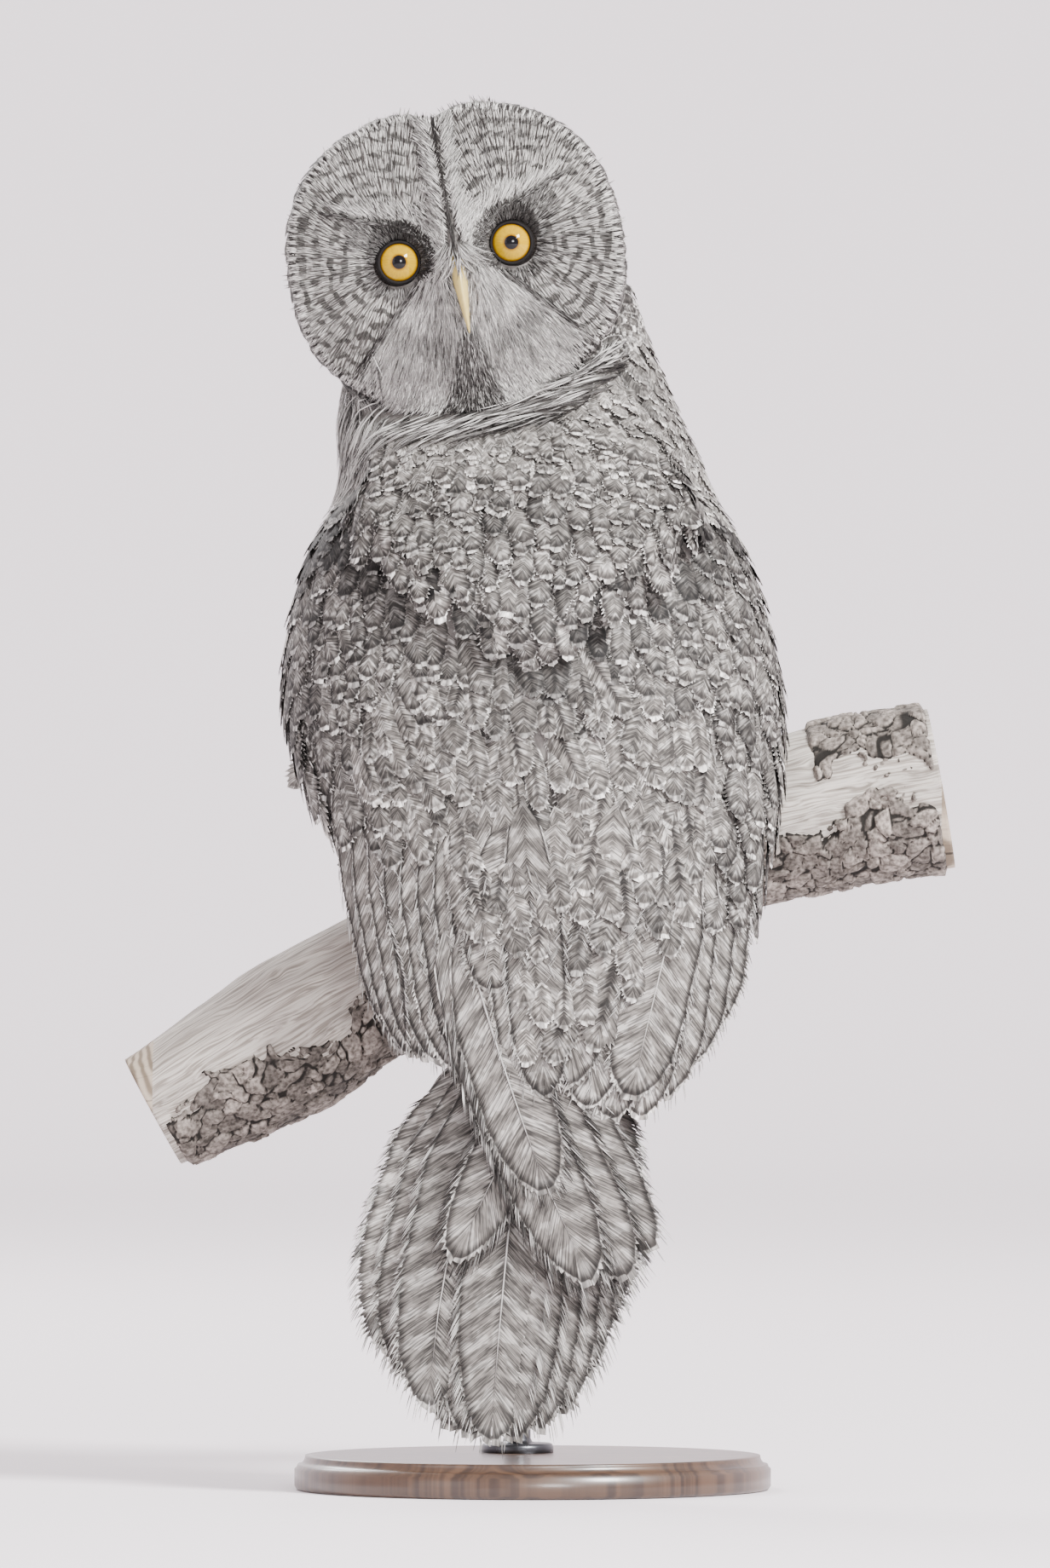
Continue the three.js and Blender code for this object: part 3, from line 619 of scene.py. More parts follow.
class Coat:
    """Gathers feathers and strands and joins them into pieces with the maps that their finish reads.

    A piece holds at most MOST_TRIANGLES. Feathers are gathered in parts that are at most a quarter of that, so
    that the pieces fill up well.
    """

    PATCH = 0.003
    MOST_TRIANGLES = 195_000
    PARTS_IN_A_PIECE = 4

    def __init__(self, name: str, seed: int) -> None:
        """Names the coat and fixes its random draws."""
        self.name = name
        self.rng = np.random.default_rng(seed)
        self.parts: list[list[Array]] = []

    def add(self, template: Template, plumes: Plumes) -> None:
        """Sets a template along each feather's path.

        Args:
            template: The shape that is repeated.
            plumes: Paths in metres and sizes in millimetres.
        """
        count, stations = plumes.path.shape[:2]
        if count == 0:
            return
        points = len(template.side)
        rng = self.rng
        draw = rng.random((count, points))[:, template.twin] - 0.4
        f = 1 + template.ragged * draw * plumes.fray
        side_share = template.side * f
        s = side_share * template.reach_across
        t = template.stem + (template.reach_along - template.stem) * np.abs(side_share)
        place = np.clip(t, 0, 1.2) * (stations - 1)
        index = np.clip(place.astype(int), 0, stations - 2)
        part = (place - index)[..., None]
        which = np.arange(count)[:, None]
        tangent = unit(np.gradient(plumes.path, axis=1))
        side = unit(np.cross(tangent, plumes.normal))
        face = unit(np.cross(side, tangent))

        def between(values: Array) -> Array:
            return values[which, index] * (1 - part) + values[which, index + 1] * part

        half = plumes.width[:, None] * MM / 2
        offset = s * half
        lift = template.rise * plumes.thick * MM / 2 - plumes.camber * s * s * half
        lift = lift + plumes.tilt * s * half
        tooth = (rng.random((count, points))[:, template.twin] - 0.5) * plumes.tooth * MM
        lift = lift + template.ragged * tooth
        places = between(plumes.path) + between(side) * offset[..., None] + between(face) * lift[..., None]
        length = np.linalg.norm(np.diff(plumes.path, axis=1), axis=2).sum(axis=1)[:, None] / MM
        seed = np.broadcast_to(rng.random(count)[:, None], s.shape)
        tone = np.broadcast_to(plumes.tone[:, None], s.shape)
        vane = np.stack([s, t, seed], axis=-1)
        barb = np.stack([offset / MM, t * length, tone], axis=-1)
        stem = template.stem * length
        reach = np.hypot(template.reach_across * half / MM, template.reach_along * length - stem)
        to_edge = np.clip(1 - np.abs(side_share), 0, 1) * reach
        rib = np.stack([stem, to_edge, np.clip(1 - t, 0, 1) * length], axis=-1)
        local = np.stack([s / 2, t - 0.5], axis=-1) * self.PATCH
        patch = plumes.patch[:, None, :] * (1 - 2 * self.PATCH) + self.PATCH + local
        corners = template.faces.shape[1]
        most = self.MOST_TRIANGLES // (self.PARTS_IN_A_PIECE * len(template.faces) * (corners - 2))
        for start in range(0, count, most):
            cut = slice(start, start + most)
            faces = template.faces[None] + (np.arange(len(places[cut])) * points)[:, None, None]
            maps = [values[cut].reshape(-1, 3) for values in (vane, barb, rib)]
            self.parts.append([places[cut].reshape(-1, 3), faces.reshape(-1, corners), *maps,
                               patch[cut].reshape(-1, 2)])

    def pieces(self, material: bpy.types.Material, slot: str) -> list[bpy.types.Object]:
        """Joins what was added into as few pieces as the limit on their size allows.

        Args:
            material: The coat's finish.
            slot: The record's material slot.

        Returns:
            The pieces.
        """
        made: list[bpy.types.Object] = []
        held: list[list[Array]] = []
        weight = 0
        for part in self.parts:
            faces = part[1]
            triangles = len(faces) * (faces.shape[1] - 2)
            if held and weight + triangles > self.MOST_TRIANGLES:
                made.append(self.join(held, len(made), material, slot))
                held, weight = [], 0
            held.append(part)
            weight += triangles
        if held:
            made.append(self.join(held, len(made), material, slot))
        return made

    def join(
        self, held: list[list[Array]], number: int, material: bpy.types.Material, slot: str
    ) -> bpy.types.Object:
        """Makes one mesh of several sets of feathers.

        Args:
            held: Points, faces and maps of each set.
            number: How many pieces of this coat there are already.
            material: The coat's finish.
            slot: The record's material slot.

        Returns:
            The piece.
        """
        starts = np.cumsum([0] + [len(part[0]) for part in held])
        points = np.concatenate([part[0] for part in held])
        corners = np.concatenate([(part[1] + start).ravel() for part, start in zip(held, starts)])
        sizes = np.concatenate([np.full(len(part[1]), part[1].shape[1]) for part in held])
        mesh = bpy.data.meshes.new(self.name)
        mesh.vertices.add(len(points))
        mesh.vertices.foreach_set("co", points.astype(np.float32).ravel())
        mesh.loops.add(len(corners))
        mesh.loops.foreach_set("vertex_index", corners.astype(np.int32))
        mesh.polygons.add(len(sizes))
        mesh.polygons.foreach_set("loop_start", (np.cumsum(sizes) - sizes).astype(np.int32))
        mesh.polygons.foreach_set("use_smooth", np.ones(len(sizes), bool))
        mesh.update(calc_edges=True)
        for title, column in (("vane", 2), ("barb", 3), ("rib", 4)):
            mark_points(mesh, title, np.concatenate([part[column] for part in held]))
        patch = np.concatenate([part[5] for part in held]).astype(np.float32)
        mesh.uv_layers.new(name="OFBake").data.foreach_set("uv", patch[corners].ravel())
        name = self.name if number == 0 else f"{self.name}_{number + 1}"
        return placed(name, mesh, material, slot)


# The bare form that the plumage stands on


@dataclass(frozen=True)
class BranchForm:
    """The branch's centre line, thickness and uneven round, in millimetres."""

    left: float = -200
    right: float = 215
    y: float = 34
    sway: float = 4
    line: Curve = Curve([
        (-200, 198), (-132, 235), (-87, 262), (-2, 305), (78, 338), (130, 353), (215, 368),
    ])
    radius: Curve = Curve([(-200, 32), (-132, 40), (-87, 37), (0, 37), (130, 41), (215, 42)])

    def lump(self, x: Array, angle: Array) -> Array:
        """Returns how far the wood stands off a true round."""
        return 0.9 * np.sin(3 * angle + x / 23) + 0.8 * np.sin(2 * angle - x / 37)

    def beside(self, x: Array, angle: Array, distance: Array) -> Array:
        """Returns points at a distance from the centre line, the angle going from the top towards +Y."""
        x, angle, distance = np.broadcast_arrays(*(np.asarray(a, float) for a in (x, angle, distance)))
        inner = np.clip(x, self.left + 1, self.right - 1)
        slope = (self.line(inner + 1) - self.line(inner - 1)) / 2
        up = unit(np.stack([-slope, np.zeros_like(slope), np.ones_like(slope)], axis=-1))
        middle = np.stack([x, self.y + self.sway * np.sin(x / 70), self.line(x)], axis=-1)
        across = np.array([0.0, 1.0, 0.0]) * (distance * np.sin(angle))[..., None]
        return middle + up * (distance * np.cos(angle))[..., None] + across


BRANCH = BranchForm()
TOES = ((-1.0, 66.0, 1.0), (0.9, 74.0, 1.0), (-0.9, -58.0, 0.94), (1.0, -50.0, 0.9))


@dataclass(frozen=True)
class FootForm:
    """The shank, pad, toes and claws of one foot."""

    side: Side
    x: float = 40
    toe_radius: float = 7.8
    toe_spread: float = 10
    claw_length: float = 22
    claw_radius: float = 3.1
    leg_width: Curve = Curve([(0, 15.5), (0.25, 22), (0.6, 31), (1, 42)])

    def round_perch(self, x: Array, turn: Array, distance: Array, thick: Array, angle: Array) -> Array:
        """Returns points thick away from a line that runs round the branch."""
        out = BRANCH.beside(x, turn, distance + 1) - BRANCH.beside(x, turn, distance)
        point = BRANCH.beside(x, turn, distance) + out * (thick * np.sin(angle))[..., None]
        point[..., 0] += thick * np.cos(angle)
        return point

    def toe(self, along: float, sweep: float, size: float, inset: float) -> Surface:
        """Returns a toe's ring function, in metres, inset by some millimetres."""

        def ring(angle: Array, share: Array) -> Array:
            x = self.side.value * self.x + along * self.toe_spread * (0.35 + share)
            radius = self.toe_radius * size * (1 - 0.22 * share)
            thick = radius * (1 - 0.3 * share**6) - inset
            distance = BRANCH.radius(x) + 1.9 + radius
            return self.round_perch(x, np.radians(sweep) * share, distance, thick, angle) * MM

        return ring

    def leg(self, inset: float) -> Surface:
        """Returns the shank's and thigh's ring function, in metres, inset by some millimetres."""
        x = self.side.value * self.x
        ankle = BRANCH.beside(x, 0, BRANCH.radius(x) + 12)
        hip = np.array([self.side.value * 52.0, 26.0, 412.0])

        def ring(angle: Array, share: Array) -> Array:
            wide = self.leg_width(share) - inset
            middle = ankle + (hip - ankle) * share[:, None]
            around = np.stack([np.cos(angle), 0.95 * np.sin(angle), np.zeros_like(angle)], axis=-1)
            return (middle + around * wide[:, None]) * MM

        return ring

    def claw(self, along: float, sweep: float, size: float) -> Surface:
        """Returns a claw's ring function, in metres."""

        def ring(angle: Array, share: Array) -> Array:
            x = self.side.value * self.x + along * self.toe_spread * (1.33 + 0.25 * share)
            r = BRANCH.radius(x)
            reach = math.copysign(1, sweep) * self.claw_length * size
            turn = 0.97 * math.radians(sweep) + reach * share / r
            thick = self.claw_radius * size * (1 - share) ** 0.7 + 0.25
            rise = 6.6 + 1.5 * np.sin(math.pi * share) - 4.4 * share
            deep = thick * (1 + 0.25 * (np.sin(angle) > 0) * np.sin(angle))
            return self.round_perch(x, turn, r + rise, deep, angle) * MM

        return ring


class Skin:
    """One skin for head, neck, trunk, wings, legs and toes, on which every feather is set."""

    VOXEL = 3.0
    BODY_INSET = 6.0
    WING_INSET = 4.6
    MANTLE_INSET = 3.8
    HEAD_INSET = 4.0
    FACE_INSET = 2.0
    TOE_INSET = 1.6

    def __init__(self) -> None:
        """Starts with nothing."""
        self.whole = bmesh.new()
        self.tree: BVHTree | None = None
        self.normals = np.zeros((0, 3))
        self.areas = np.zeros(0)
        self.middles = np.zeros((0, 3))

    def trunk(self) -> None:
        """Adds the torso and neck."""
        low, high = TRUNK.low + 5, TRUNK.high

        def ring(angle: Array, share: Array) -> Array:
            return TRUNK.point(angle, low + share * (high - low), -self.BODY_INSET) * MM

        absorb(self.whole, capped(ring, 72, 70))

    def wing(self, side: Side) -> None:
        """Adds the shell of a folded wing."""

        def sheet(depth: float) -> Surface:
            def place(u: Array, v: Array) -> Array:
                share = -0.02 + 1.02 * u
                z = 290 + v * 232
                edge = np.minimum(1, np.minimum(3 * (1 - share), 3 * (522 - z) / 60 + 0.35))
                inner = 6 * (edge - 1) * (1 if depth < 8 else 0) - 5 * steps(z, 400, 330)
                return CLOAK.point(BACK + side.value * share * WING_SPAN, z, inner - depth) * MM

            return place

        absorb(self.whole, slab(sheet(self.WING_INSET), sheet(self.WING_INSET + 10), 44, 40))

    def mantle(self) -> None:
        """Adds the shield of back feathers that hangs over both wings."""

        def sheet(depth: float) -> Surface:
            def place(u: Array, v: Array) -> Array:
                share = 2 * u - 1
                low = MANTLE_EDGE(share) + 15
                raised = 4.6 * steps(v, 0.5, 0.0) - 9 * steps(v, 0.72, 1.0) if depth < 8 else 0.0
                return MANTLE.point(BACK + share * 0.95, low + v * (560 - low), raised - depth) * MM

            return place

        absorb(self.whole, slab(sheet(self.MANTLE_INSET), sheet(self.MANTLE_INSET + 16), 44, 26))

    def head(self) -> None:
        """Adds the head, its face sunk less than its back."""
        made = formed_grid(96, 64, lambda u, v: HEAD.world(HEAD.shell(2 * math.pi * u, v)))
        made.normal_update()
        places = np.array([v.co for v in made.verts])
        local = HEAD.local(places)
        back = steps(HEAD.share(local[:, 0], local[:, 2]) + (local[:, 1] > 0), 0.85, 1.0)
        inset = self.FACE_INSET + (self.HEAD_INSET - self.FACE_INSET) * back
        for vert, deep in zip(made.verts, inset):
            vert.co -= vert.normal * float(deep) * MM
        absorb(self.whole, made)

    def legs(self) -> None:
        """Adds both legs with their pads and toes."""
        for side in Side:
            form = FootForm(side)
            absorb(self.whole, capped(form.leg(self.BODY_INSET * 0.6), 32, 24))
            x = side.value * form.x
            pad = bmesh.new()
            bmesh.ops.create_icosphere(pad, subdivisions=4, radius=1)
            bmesh.ops.scale(pad, vec=Vector((15, 13, 10)) * MM, verts=pad.verts[:])
            centre = BRANCH.beside(x, math.radians(4), BRANCH.radius(x) + 8) * MM
            bmesh.ops.translate(pad, vec=Vector(centre), verts=pad.verts[:])
            absorb(self.whole, pad)
            for toe in TOES:
                absorb(self.whole, capped(form.toe(*toe, self.TOE_INSET), 20, 22))

    def build(self, material: bpy.types.Material) -> bpy.types.Object:
        """Fuses the forms into one surface.

        Args:
            material: The skin's finish.

        Returns:
            The skin, which stands for the flesh of the bird.
        """
        self.trunk()
        for side in Side:
            self.wing(side)
        self.mantle()
        self.head()
        self.legs()
        loose = bpy.data.meshes.new("forms")
        self.whole.to_mesh(loose)
        self.whole.free()
        holder = bpy.data.objects.new("forms", loose)
        bpy.context.scene.collection.objects.link(holder)
        remesh = holder.modifiers.new("fuse", "REMESH")
        remesh.mode = "VOXEL"
        remesh.voxel_size = self.VOXEL * MM
        fused = holder.evaluated_get(bpy.context.evaluated_depsgraph_get())
        bm = bmesh.new()
        bm.from_mesh(fused.to_mesh())
        fused.to_mesh_clear()
        bpy.data.objects.remove(holder)
        for _ in range(3):
            bmesh.ops.smooth_vert(
                bm, verts=bm.verts[:], factor=0.5, use_axis_x=True, use_axis_y=True, use_axis_z=True
            )
        bm.normal_update()
        self.remember(bm)
        skin = from_bmesh("owl_skin", bm, material, "plumage")
        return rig.replaces(
            skin, "head", "neck", "torso", "mantle", "leg_left", "leg_right", "foot_left", "foot_right"
        )

    def remember(self, bm: bmesh.types.BMesh) -> None:
        """Keeps the surface and its smoothed normals for setting feathers."""
        self.tree = BVHTree.FromBMesh(bm)
        normals = {v: v.normal.copy() for v in bm.verts}
        for _ in range(3):
            blurred = {}
            for vert in bm.verts:
                total = normals[vert].copy()
                for edge in vert.link_edges:
                    total += normals[edge.other_vert(vert)]
                blurred[vert] = total.normalized()
            normals = blurred
        faces = [sum((normals[v] for v in face.verts), Vector()).normalized() for face in bm.faces]
        self.normals = np.array(faces)
        self.areas = np.array([face.calc_area() for face in bm.faces])
        self.middles = np.array([face.calc_center_median() for face in bm.faces])

    def scatter(self, rng: np.random.Generator, count: int) -> Array:
        """Returns places spread evenly over the whole skin, in metres."""
        which = rng.choice(len(self.areas), count, p=self.areas / self.areas.sum())
        return self.middles[which] + rng.normal(0, 0.5, (count, 3)) * MM

    def seen(self, places: Array) -> Array:
        """Returns where a level line from behind the bird first meets the skin at each place, in metres."""
        found = [self.tree.ray_cast(Vector((x, -1, z)), Vector((0, 1, 0)))[0] for x, _, z in places]
        return np.array([place if hit is None else hit for place, hit in zip(places, found)]).reshape(-1, 3)

    def settle(self, places: Array) -> tuple[Array, Array]:
        """Returns the nearest places on the skin, and which way it faces there."""
        found = [self.tree.find_nearest(Vector(place)) for place in places]
        points = np.array([hit[0] for hit in found]).reshape(-1, 3)
        return points, self.normals[[hit[2] for hit in found]].reshape(-1, 3)

    def walk(
        self,
        roots: Array,
        length: Array,
        heading: Field,
        yaw: Array | float = 0.0,
        lift: tuple[float, float] = (0.5, 4.0),
        stations: int = 5,
    ) -> tuple[Array, Array]:
        """Leads each feather over the skin from its root.

        Args:
            roots: Places in metres.
            length: How long each is, in millimetres.
            heading: Gives the way the coat lies at any place.
            yaw: How far each turns from that way, in radians.
            lift: How far the root and the tip stand off the skin, in millimetres.
            stations: Points on each path.

        Returns:
            The paths and which way each faces, one feather a row.
        """
        points, normals = self.settle(roots)
        yaw = np.broadcast_to(np.asarray(yaw, float), (len(points),))[:, None]
        stride = np.broadcast_to(np.asarray(length, float), (len(points),))[:, None] * MM / (stations - 1)
        path, faces = [points], [normals]
        for _ in range(stations - 1):
            way = heading(points)
            way = unit(way - normals * (way * normals).sum(axis=1, keepdims=True))
            way = way * np.cos(yaw) + np.cross(normals, way) * np.sin(yaw)
            ahead = points + way * stride
            landed, facing = self.settle(ahead)
            free = np.linalg.norm(landed - ahead, axis=1, keepdims=True) > 0.45 * stride
            points = np.where(free, ahead, landed)
            normals = unit(np.where(free, normals, facing + normals))
            path.append(points)
            faces.append(normals)
        path, faces = np.stack(path, axis=1), np.stack(faces, axis=1)
        t = np.linspace(0, 1, stations)[None, :, None]
        return path + faces * (lift[0] + (lift[1] - lift[0]) * t**0.8) * MM, faces


# Finishes


def reckoned(operation: str, swapped: bool = False) -> Callable[["Value", object], "Value"]:
    """Returns an operator's method, which adds the node of that sum."""

    def method(self: "Value", other: object) -> "Value":
        return self.wiring.math(operation, *((other, self) if swapped else (self, other)))

    return method


@dataclass(frozen=True)
class Value:
    """An output of a node, which sums can be written with."""

    wiring: "Wiring"
    socket: bpy.types.NodeSocket

    __add__, __radd__ = reckoned("ADD"), reckoned("ADD", True)
    __sub__, __rsub__ = reckoned("SUBTRACT"), reckoned("SUBTRACT", True)
    __mul__, __rmul__ = reckoned("MULTIPLY"), reckoned("MULTIPLY", True)
    __truediv__, __rtruediv__ = reckoned("DIVIDE"), reckoned("DIVIDE", True)

    def __abs__(self) -> "Value":
        """Returns the value without its sign."""
        return self.wiring.math("ABSOLUTE", self)


class Wiring:
    """Adds nodes to a tree and joins their sockets."""

    def __init__(self, tree: bpy.types.NodeTree, material: bpy.types.Material | None = None) -> None:
        """Takes the tree to fill and the material that it belongs to, if any."""
        self.tree = tree
        self.material = material

    def feed(self, node: bpy.types.Node, inputs: dict) -> None:
        """Sets inputs of a node, by their names or numbers, to plain values or to the outputs of others."""
        for key, value in inputs.items():
            if isinstance(value, Value):
                self.tree.links.new(value.socket, node.inputs[key])
            else:
                node.inputs[key].default_value = value

    def node(self, kind: str, inputs: dict | None = None, **settings: object) -> bpy.types.Node:
        """Adds a node.

        Args:
            kind: Its type.
            inputs: Plain values or outputs of others, by the name or number of its inputs.
            settings: Its other settings.

        Returns:
            The node.
        """
        made = self.tree.nodes.new(kind)
        for name, value in settings.items():
            setattr(made, name, value)
        self.feed(made, inputs or {})
        return made

    def value(
        self, kind: str, inputs: dict | None = None, output: int | str = 0, **settings: object
    ) -> Value:
        """Adds a node and returns one of its outputs."""
        return Value(self, self.node(kind, inputs, **settings).outputs[output])

    def group(self, tree: bpy.types.NodeTree, inputs: dict | None = None) -> dict[str, Value]:
        """Adds a node group and returns its outputs by name."""
        made = self.node("ShaderNodeGroup", inputs, node_tree=tree)
        return {socket.name: Value(self, socket) for socket in made.outputs}

    def math(self, operation: str, a: object, b: object = 0.0) -> Value:
        """Returns the result of a sum on two values."""
        return self.value("ShaderNodeMath", {0: a, 1: b}, operation=operation)

    def zigzag(self, value: object) -> Value:
        """Returns how far a value is from the nearest whole number."""
        return self.math("PINGPONG", value, 0.5)

    def mix(self, share: object, first: object, second: object) -> Value:
        """Returns a colour between two."""
        return self.value("ShaderNodeMix", {0: share, 6: first, 7: second}, 2, data_type="RGBA")

    def span(
        self, value: object, low: object, high: object, first: float = 0.0, last: float = 1.0
    ) -> Value:
        """Returns a smooth step from first to last as the value goes from low to high."""
        inputs = {0: value, 1: low, 2: high, 3: first, 4: last}
        return self.value("ShaderNodeMapRange", inputs, interpolation_type="SMOOTHSTEP")

    def noise(self, vector: object, scale: float = 1.0, detail: float = 2.0) -> Value:
        """Returns noise from 0 to 1."""
        return self.value("ShaderNodeTexNoise", {"Vector": vector, "Scale": scale, "Detail": detail})

    def vector(self, operation: str, a: object, b: object, output: int | str = 0) -> Value:
        """Returns the result of a sum on two vectors."""
        return self.value("ShaderNodeVectorMath", {0: a, 1: b}, output, operation=operation)

    def place(self) -> Value:
        """Returns each point's place on the object, in metres."""
        return self.value("ShaderNodeTexCoord", output="Object")

    def join(self, x: object, y: object, z: object = 0.0) -> Value:
        """Returns a vector of three values."""
        return self.value("ShaderNodeCombineXYZ", {0: x, 1: y, 2: z})

    def split(self, vector: object) -> tuple[Value, ...]:
        """Returns a vector's three values."""
        parts = self.node("ShaderNodeSeparateXYZ", {0: vector}).outputs
        return tuple(Value(self, socket) for socket in parts)

    def attribute(self, name: str) -> tuple[Value, ...]:
        """Returns the three values of a mesh attribute."""
        return self.split(self.value("ShaderNodeAttribute", output="Vector", attribute_name=name))

    def shaded(self, colour: object, factor: object) -> Value:
        """Returns a colour made lighter or darker by a factor."""
        return self.value("ShaderNodeVectorMath", {0: colour, 3: factor}, operation="SCALE")

    def finish(
        self, colour: Value | Colour, height: Value | None = None, bump: float = 0.3, depth: float = 0.001,
        **values: object,
    ) -> bpy.types.Material:
        """Sets the material's Principled shader.

        Args:
            colour: The base colour.
            height: A bump's height, if any.
            bump: The bump's strength.
            depth: The bump's depth in metres.
            values: Other inputs, their spaces written as underscores.

        Returns:
            The material.
        """
        inputs = {"Base Color": colour, **{key.replace("_", " "): value for key, value in values.items()}}
        inputs = {key: (*value, 1) if isinstance(value, tuple) else value for key, value in inputs.items()}
        if height is not None:
            inputs["Normal"] = self.value(
                "ShaderNodeBump", {"Height": height, "Strength": bump, "Distance": depth}
            )
        self.feed(next(node for node in self.tree.nodes if node.type == "BSDF_PRINCIPLED"), inputs)
        return self.material


def new_group(
    name: str, inputs: dict[str, float | tuple], outputs: dict[str, str]
) -> tuple[Wiring, dict[str, Value], bpy.types.Node]:
    """Makes an empty shader node group.

    Args:
        name: Its name.
        inputs: Its inputs with their first values. A tuple is a colour.
        outputs: Its outputs with their socket types.

    Returns:
        Its wiring, its inputs by name and the node that takes its outputs.
    """
    tree = bpy.data.node_groups.new(name, "ShaderNodeTree")
    for title, value in inputs.items():
        kind = "NodeSocketColor" if isinstance(value, tuple) else "NodeSocketFloat"
        socket = tree.interface.new_socket(name=title, in_out="INPUT", socket_type=kind)
        socket.default_value = value
    for title, kind in outputs.items():
        tree.interface.new_socket(name=title, in_out="OUTPUT", socket_type=kind)
    wiring = Wiring(tree)
    start = wiring.node("NodeGroupInput")
    given = {title: Value(wiring, start.outputs[title]) for title in inputs}
    return wiring, given, wiring.node("NodeGroupOutput")


def barb_lines(w: Wiring) -> tuple[Value, ...]:
    """Adds the fine lines of a feather's barbs.

    Args:
        w: The wiring of a group or material.

    Returns:
        The lines, and the feather's shares across and along, its seed, its places across and along in
        millimetres, its tone, and each place's distance from the edge and from the tip.
    """
    s, t, seed = w.attribute("vane")
    across, along, tone = w.attribute("barb")
    stem, edge, tip = w.attribute("rib")
    away = abs(across)
    at = w.join(stem * 1.1, away * 0.12, seed * 37.0)
    return w.noise(at), s, t, seed, across, along, tone, edge, tip


def vane_pattern() -> bpy.types.NodeTree:
    """Makes the group that marks a feather: broken bars, a shaft streak, a dark band of painted shade inside the edges
    where feathers overlap, and a pale fringe.
    """
    w, given, end = new_group(
        "vane_pattern",
        {
            "Ground": (0.3, 0.29, 0.27, 1), "Pale": (0.7, 0.68, 0.66, 1), "Dark": (0.07, 0.06, 0.055, 1),
            "Spacing": 5.5, "Bars": 0.7, "Streak": 0.5, "Band": 0.5, "Fringe": 0.5, "Sides": 1.0,
            "Rim": 1.2, "Reach": 3.2, "Core": 0.36, "Wobble": 1.0, "Scatter": 7.0, "Slant": 0.55,
        },
        {"Color": "NodeSocketColor", "Height": "NodeSocketFloat"},
    )
    lines, s, t, seed, across, along, tone, edge, tip = barb_lines(w)
    away = abs(across)
    random = seed * 91.0
    coarse = 6.0 / (given["Spacing"] + 1.0)
    flat_x, flat_y = across * coarse, along * coarse
    wave = w.noise(w.join(flat_x * 0.3, flat_y * 0.2, random)) - 0.5
    level = (along - away * given["Slant"]) / given["Spacing"]
    level = level + wave * (given["Wobble"] * 2.6) + seed * given["Scatter"]
    band = w.zigzag(level) + (lines - 0.5) * 0.16
    broken = w.noise(w.join(flat_x * 0.35, flat_y * 0.25, random))
    frosted = w.span(band, 0.27, 0.36) * w.span(broken, 0.36, 0.5)
    barred = w.span(band, 0.2, 0.1) * w.span(broken, 0.68, 0.5)
    colour = w.mix(frosted * given["Bars"], given["Ground"], given["Pale"])
    colour = w.mix(barred * given["Bars"], colour, given["Dark"])
    centre = abs(s) + (lines - 0.5) * 0.5
    picked = w.span(w.zigzag(seed * 5.3), 0.1, 0.4, 0.3, 1.0)
    streak = w.span(centre, given["Core"], 0.04) * (w.span(t, 0.98, 0.75) * picked)
    colour = w.mix(streak * given["Streak"], colour, given["Dark"])
    # The dark band just inside each feather's edge is painted shade, where the next feather overlaps it.
    flank = edge + (1.0 - given["Sides"]) * 50.0
    edge = w.math("MINIMUM", tip, flank) + wave * 3.4 + (lines - 0.5) * 1.6
    inside = edge - given["Rim"]
    painted_edge_shade = w.span(inside, -0.2, 0.4) * w.span(inside, given["Reach"], 1.0)
    colour = w.mix(painted_edge_shade * given["Band"], colour, given["Dark"])
    frayed = w.span(broken, 0.36, 0.6) * w.span(w.zigzag(seed * 3.7), 0.0, 0.5, 0.35, 1.0)
    fringe = w.span(inside, 0.5, -0.5) * frayed
    colour = w.mix(fringe * given["Fringe"], colour, given["Pale"])
    fine = w.span(lines, 0.36, 0.64, 0.42, 1.5)
    factor = fine * (0.8 + seed * 0.4) * (0.3 + tone * 1.4)
    w.feed(end, {"Color": w.shaded(colour, factor), "Height": lines})
    return w.tree


def disc_rings(step: float = 7.2, sectors: float = 2.6) -> bpy.types.NodeTree:
    """Makes the group that marks broken dark rings round the eyes.

    Args:
        step: The distance between the rings in millimetres.
        sectors: How many sectors of shifted rings one radian holds.
    """
    w, _, end = new_group("disc_rings", {}, {"Mask": "NodeSocketFloat"})
    local = w.vector("SUBTRACT", w.place(), tuple(MM * value for value in HEAD.centre))
    x, z = (w.vector("DOT_PRODUCT", local, tuple(HEAD.turned[:, axis] / MM), "Value") for axis in (0, 2))
    across = abs(x) - HEAD.eye_apart / 2
    up = z - HEAD.eye_height
    turn = w.math("ARCTAN2", up, across)
    side = w.math("SIGN", x)
    flat = across / w.span(up, 0.0, 45.0, 1.0, 1.22)
    r = w.math("SQRT", flat * flat + up * up)
    shift = w.noise(w.join(w.math("FLOOR", turn * sectors) * 7.3, side * 5.1, 0.5))
    wave = w.noise(w.join(x * 0.11, z * 0.11, side))
    level = r / step + shift * 1.8 + wave * 1.3
    mark = w.span(w.zigzag(level), 0.2, 0.33)
    dash = w.noise(w.join(turn * r * 0.2, w.math("FLOOR", level) * 3.1, side))
    w.feed(end, {"Mask": mark * w.span(dash, 0.4, 0.56, 0.22, 1.0)})
    return w.tree


def new_material(name: str) -> Wiring:
    """Makes a material with a Principled shader and returns its wiring."""
    made = bpy.data.materials.new(name)
    made.use_nodes = True
    return Wiring(made.node_tree, made)


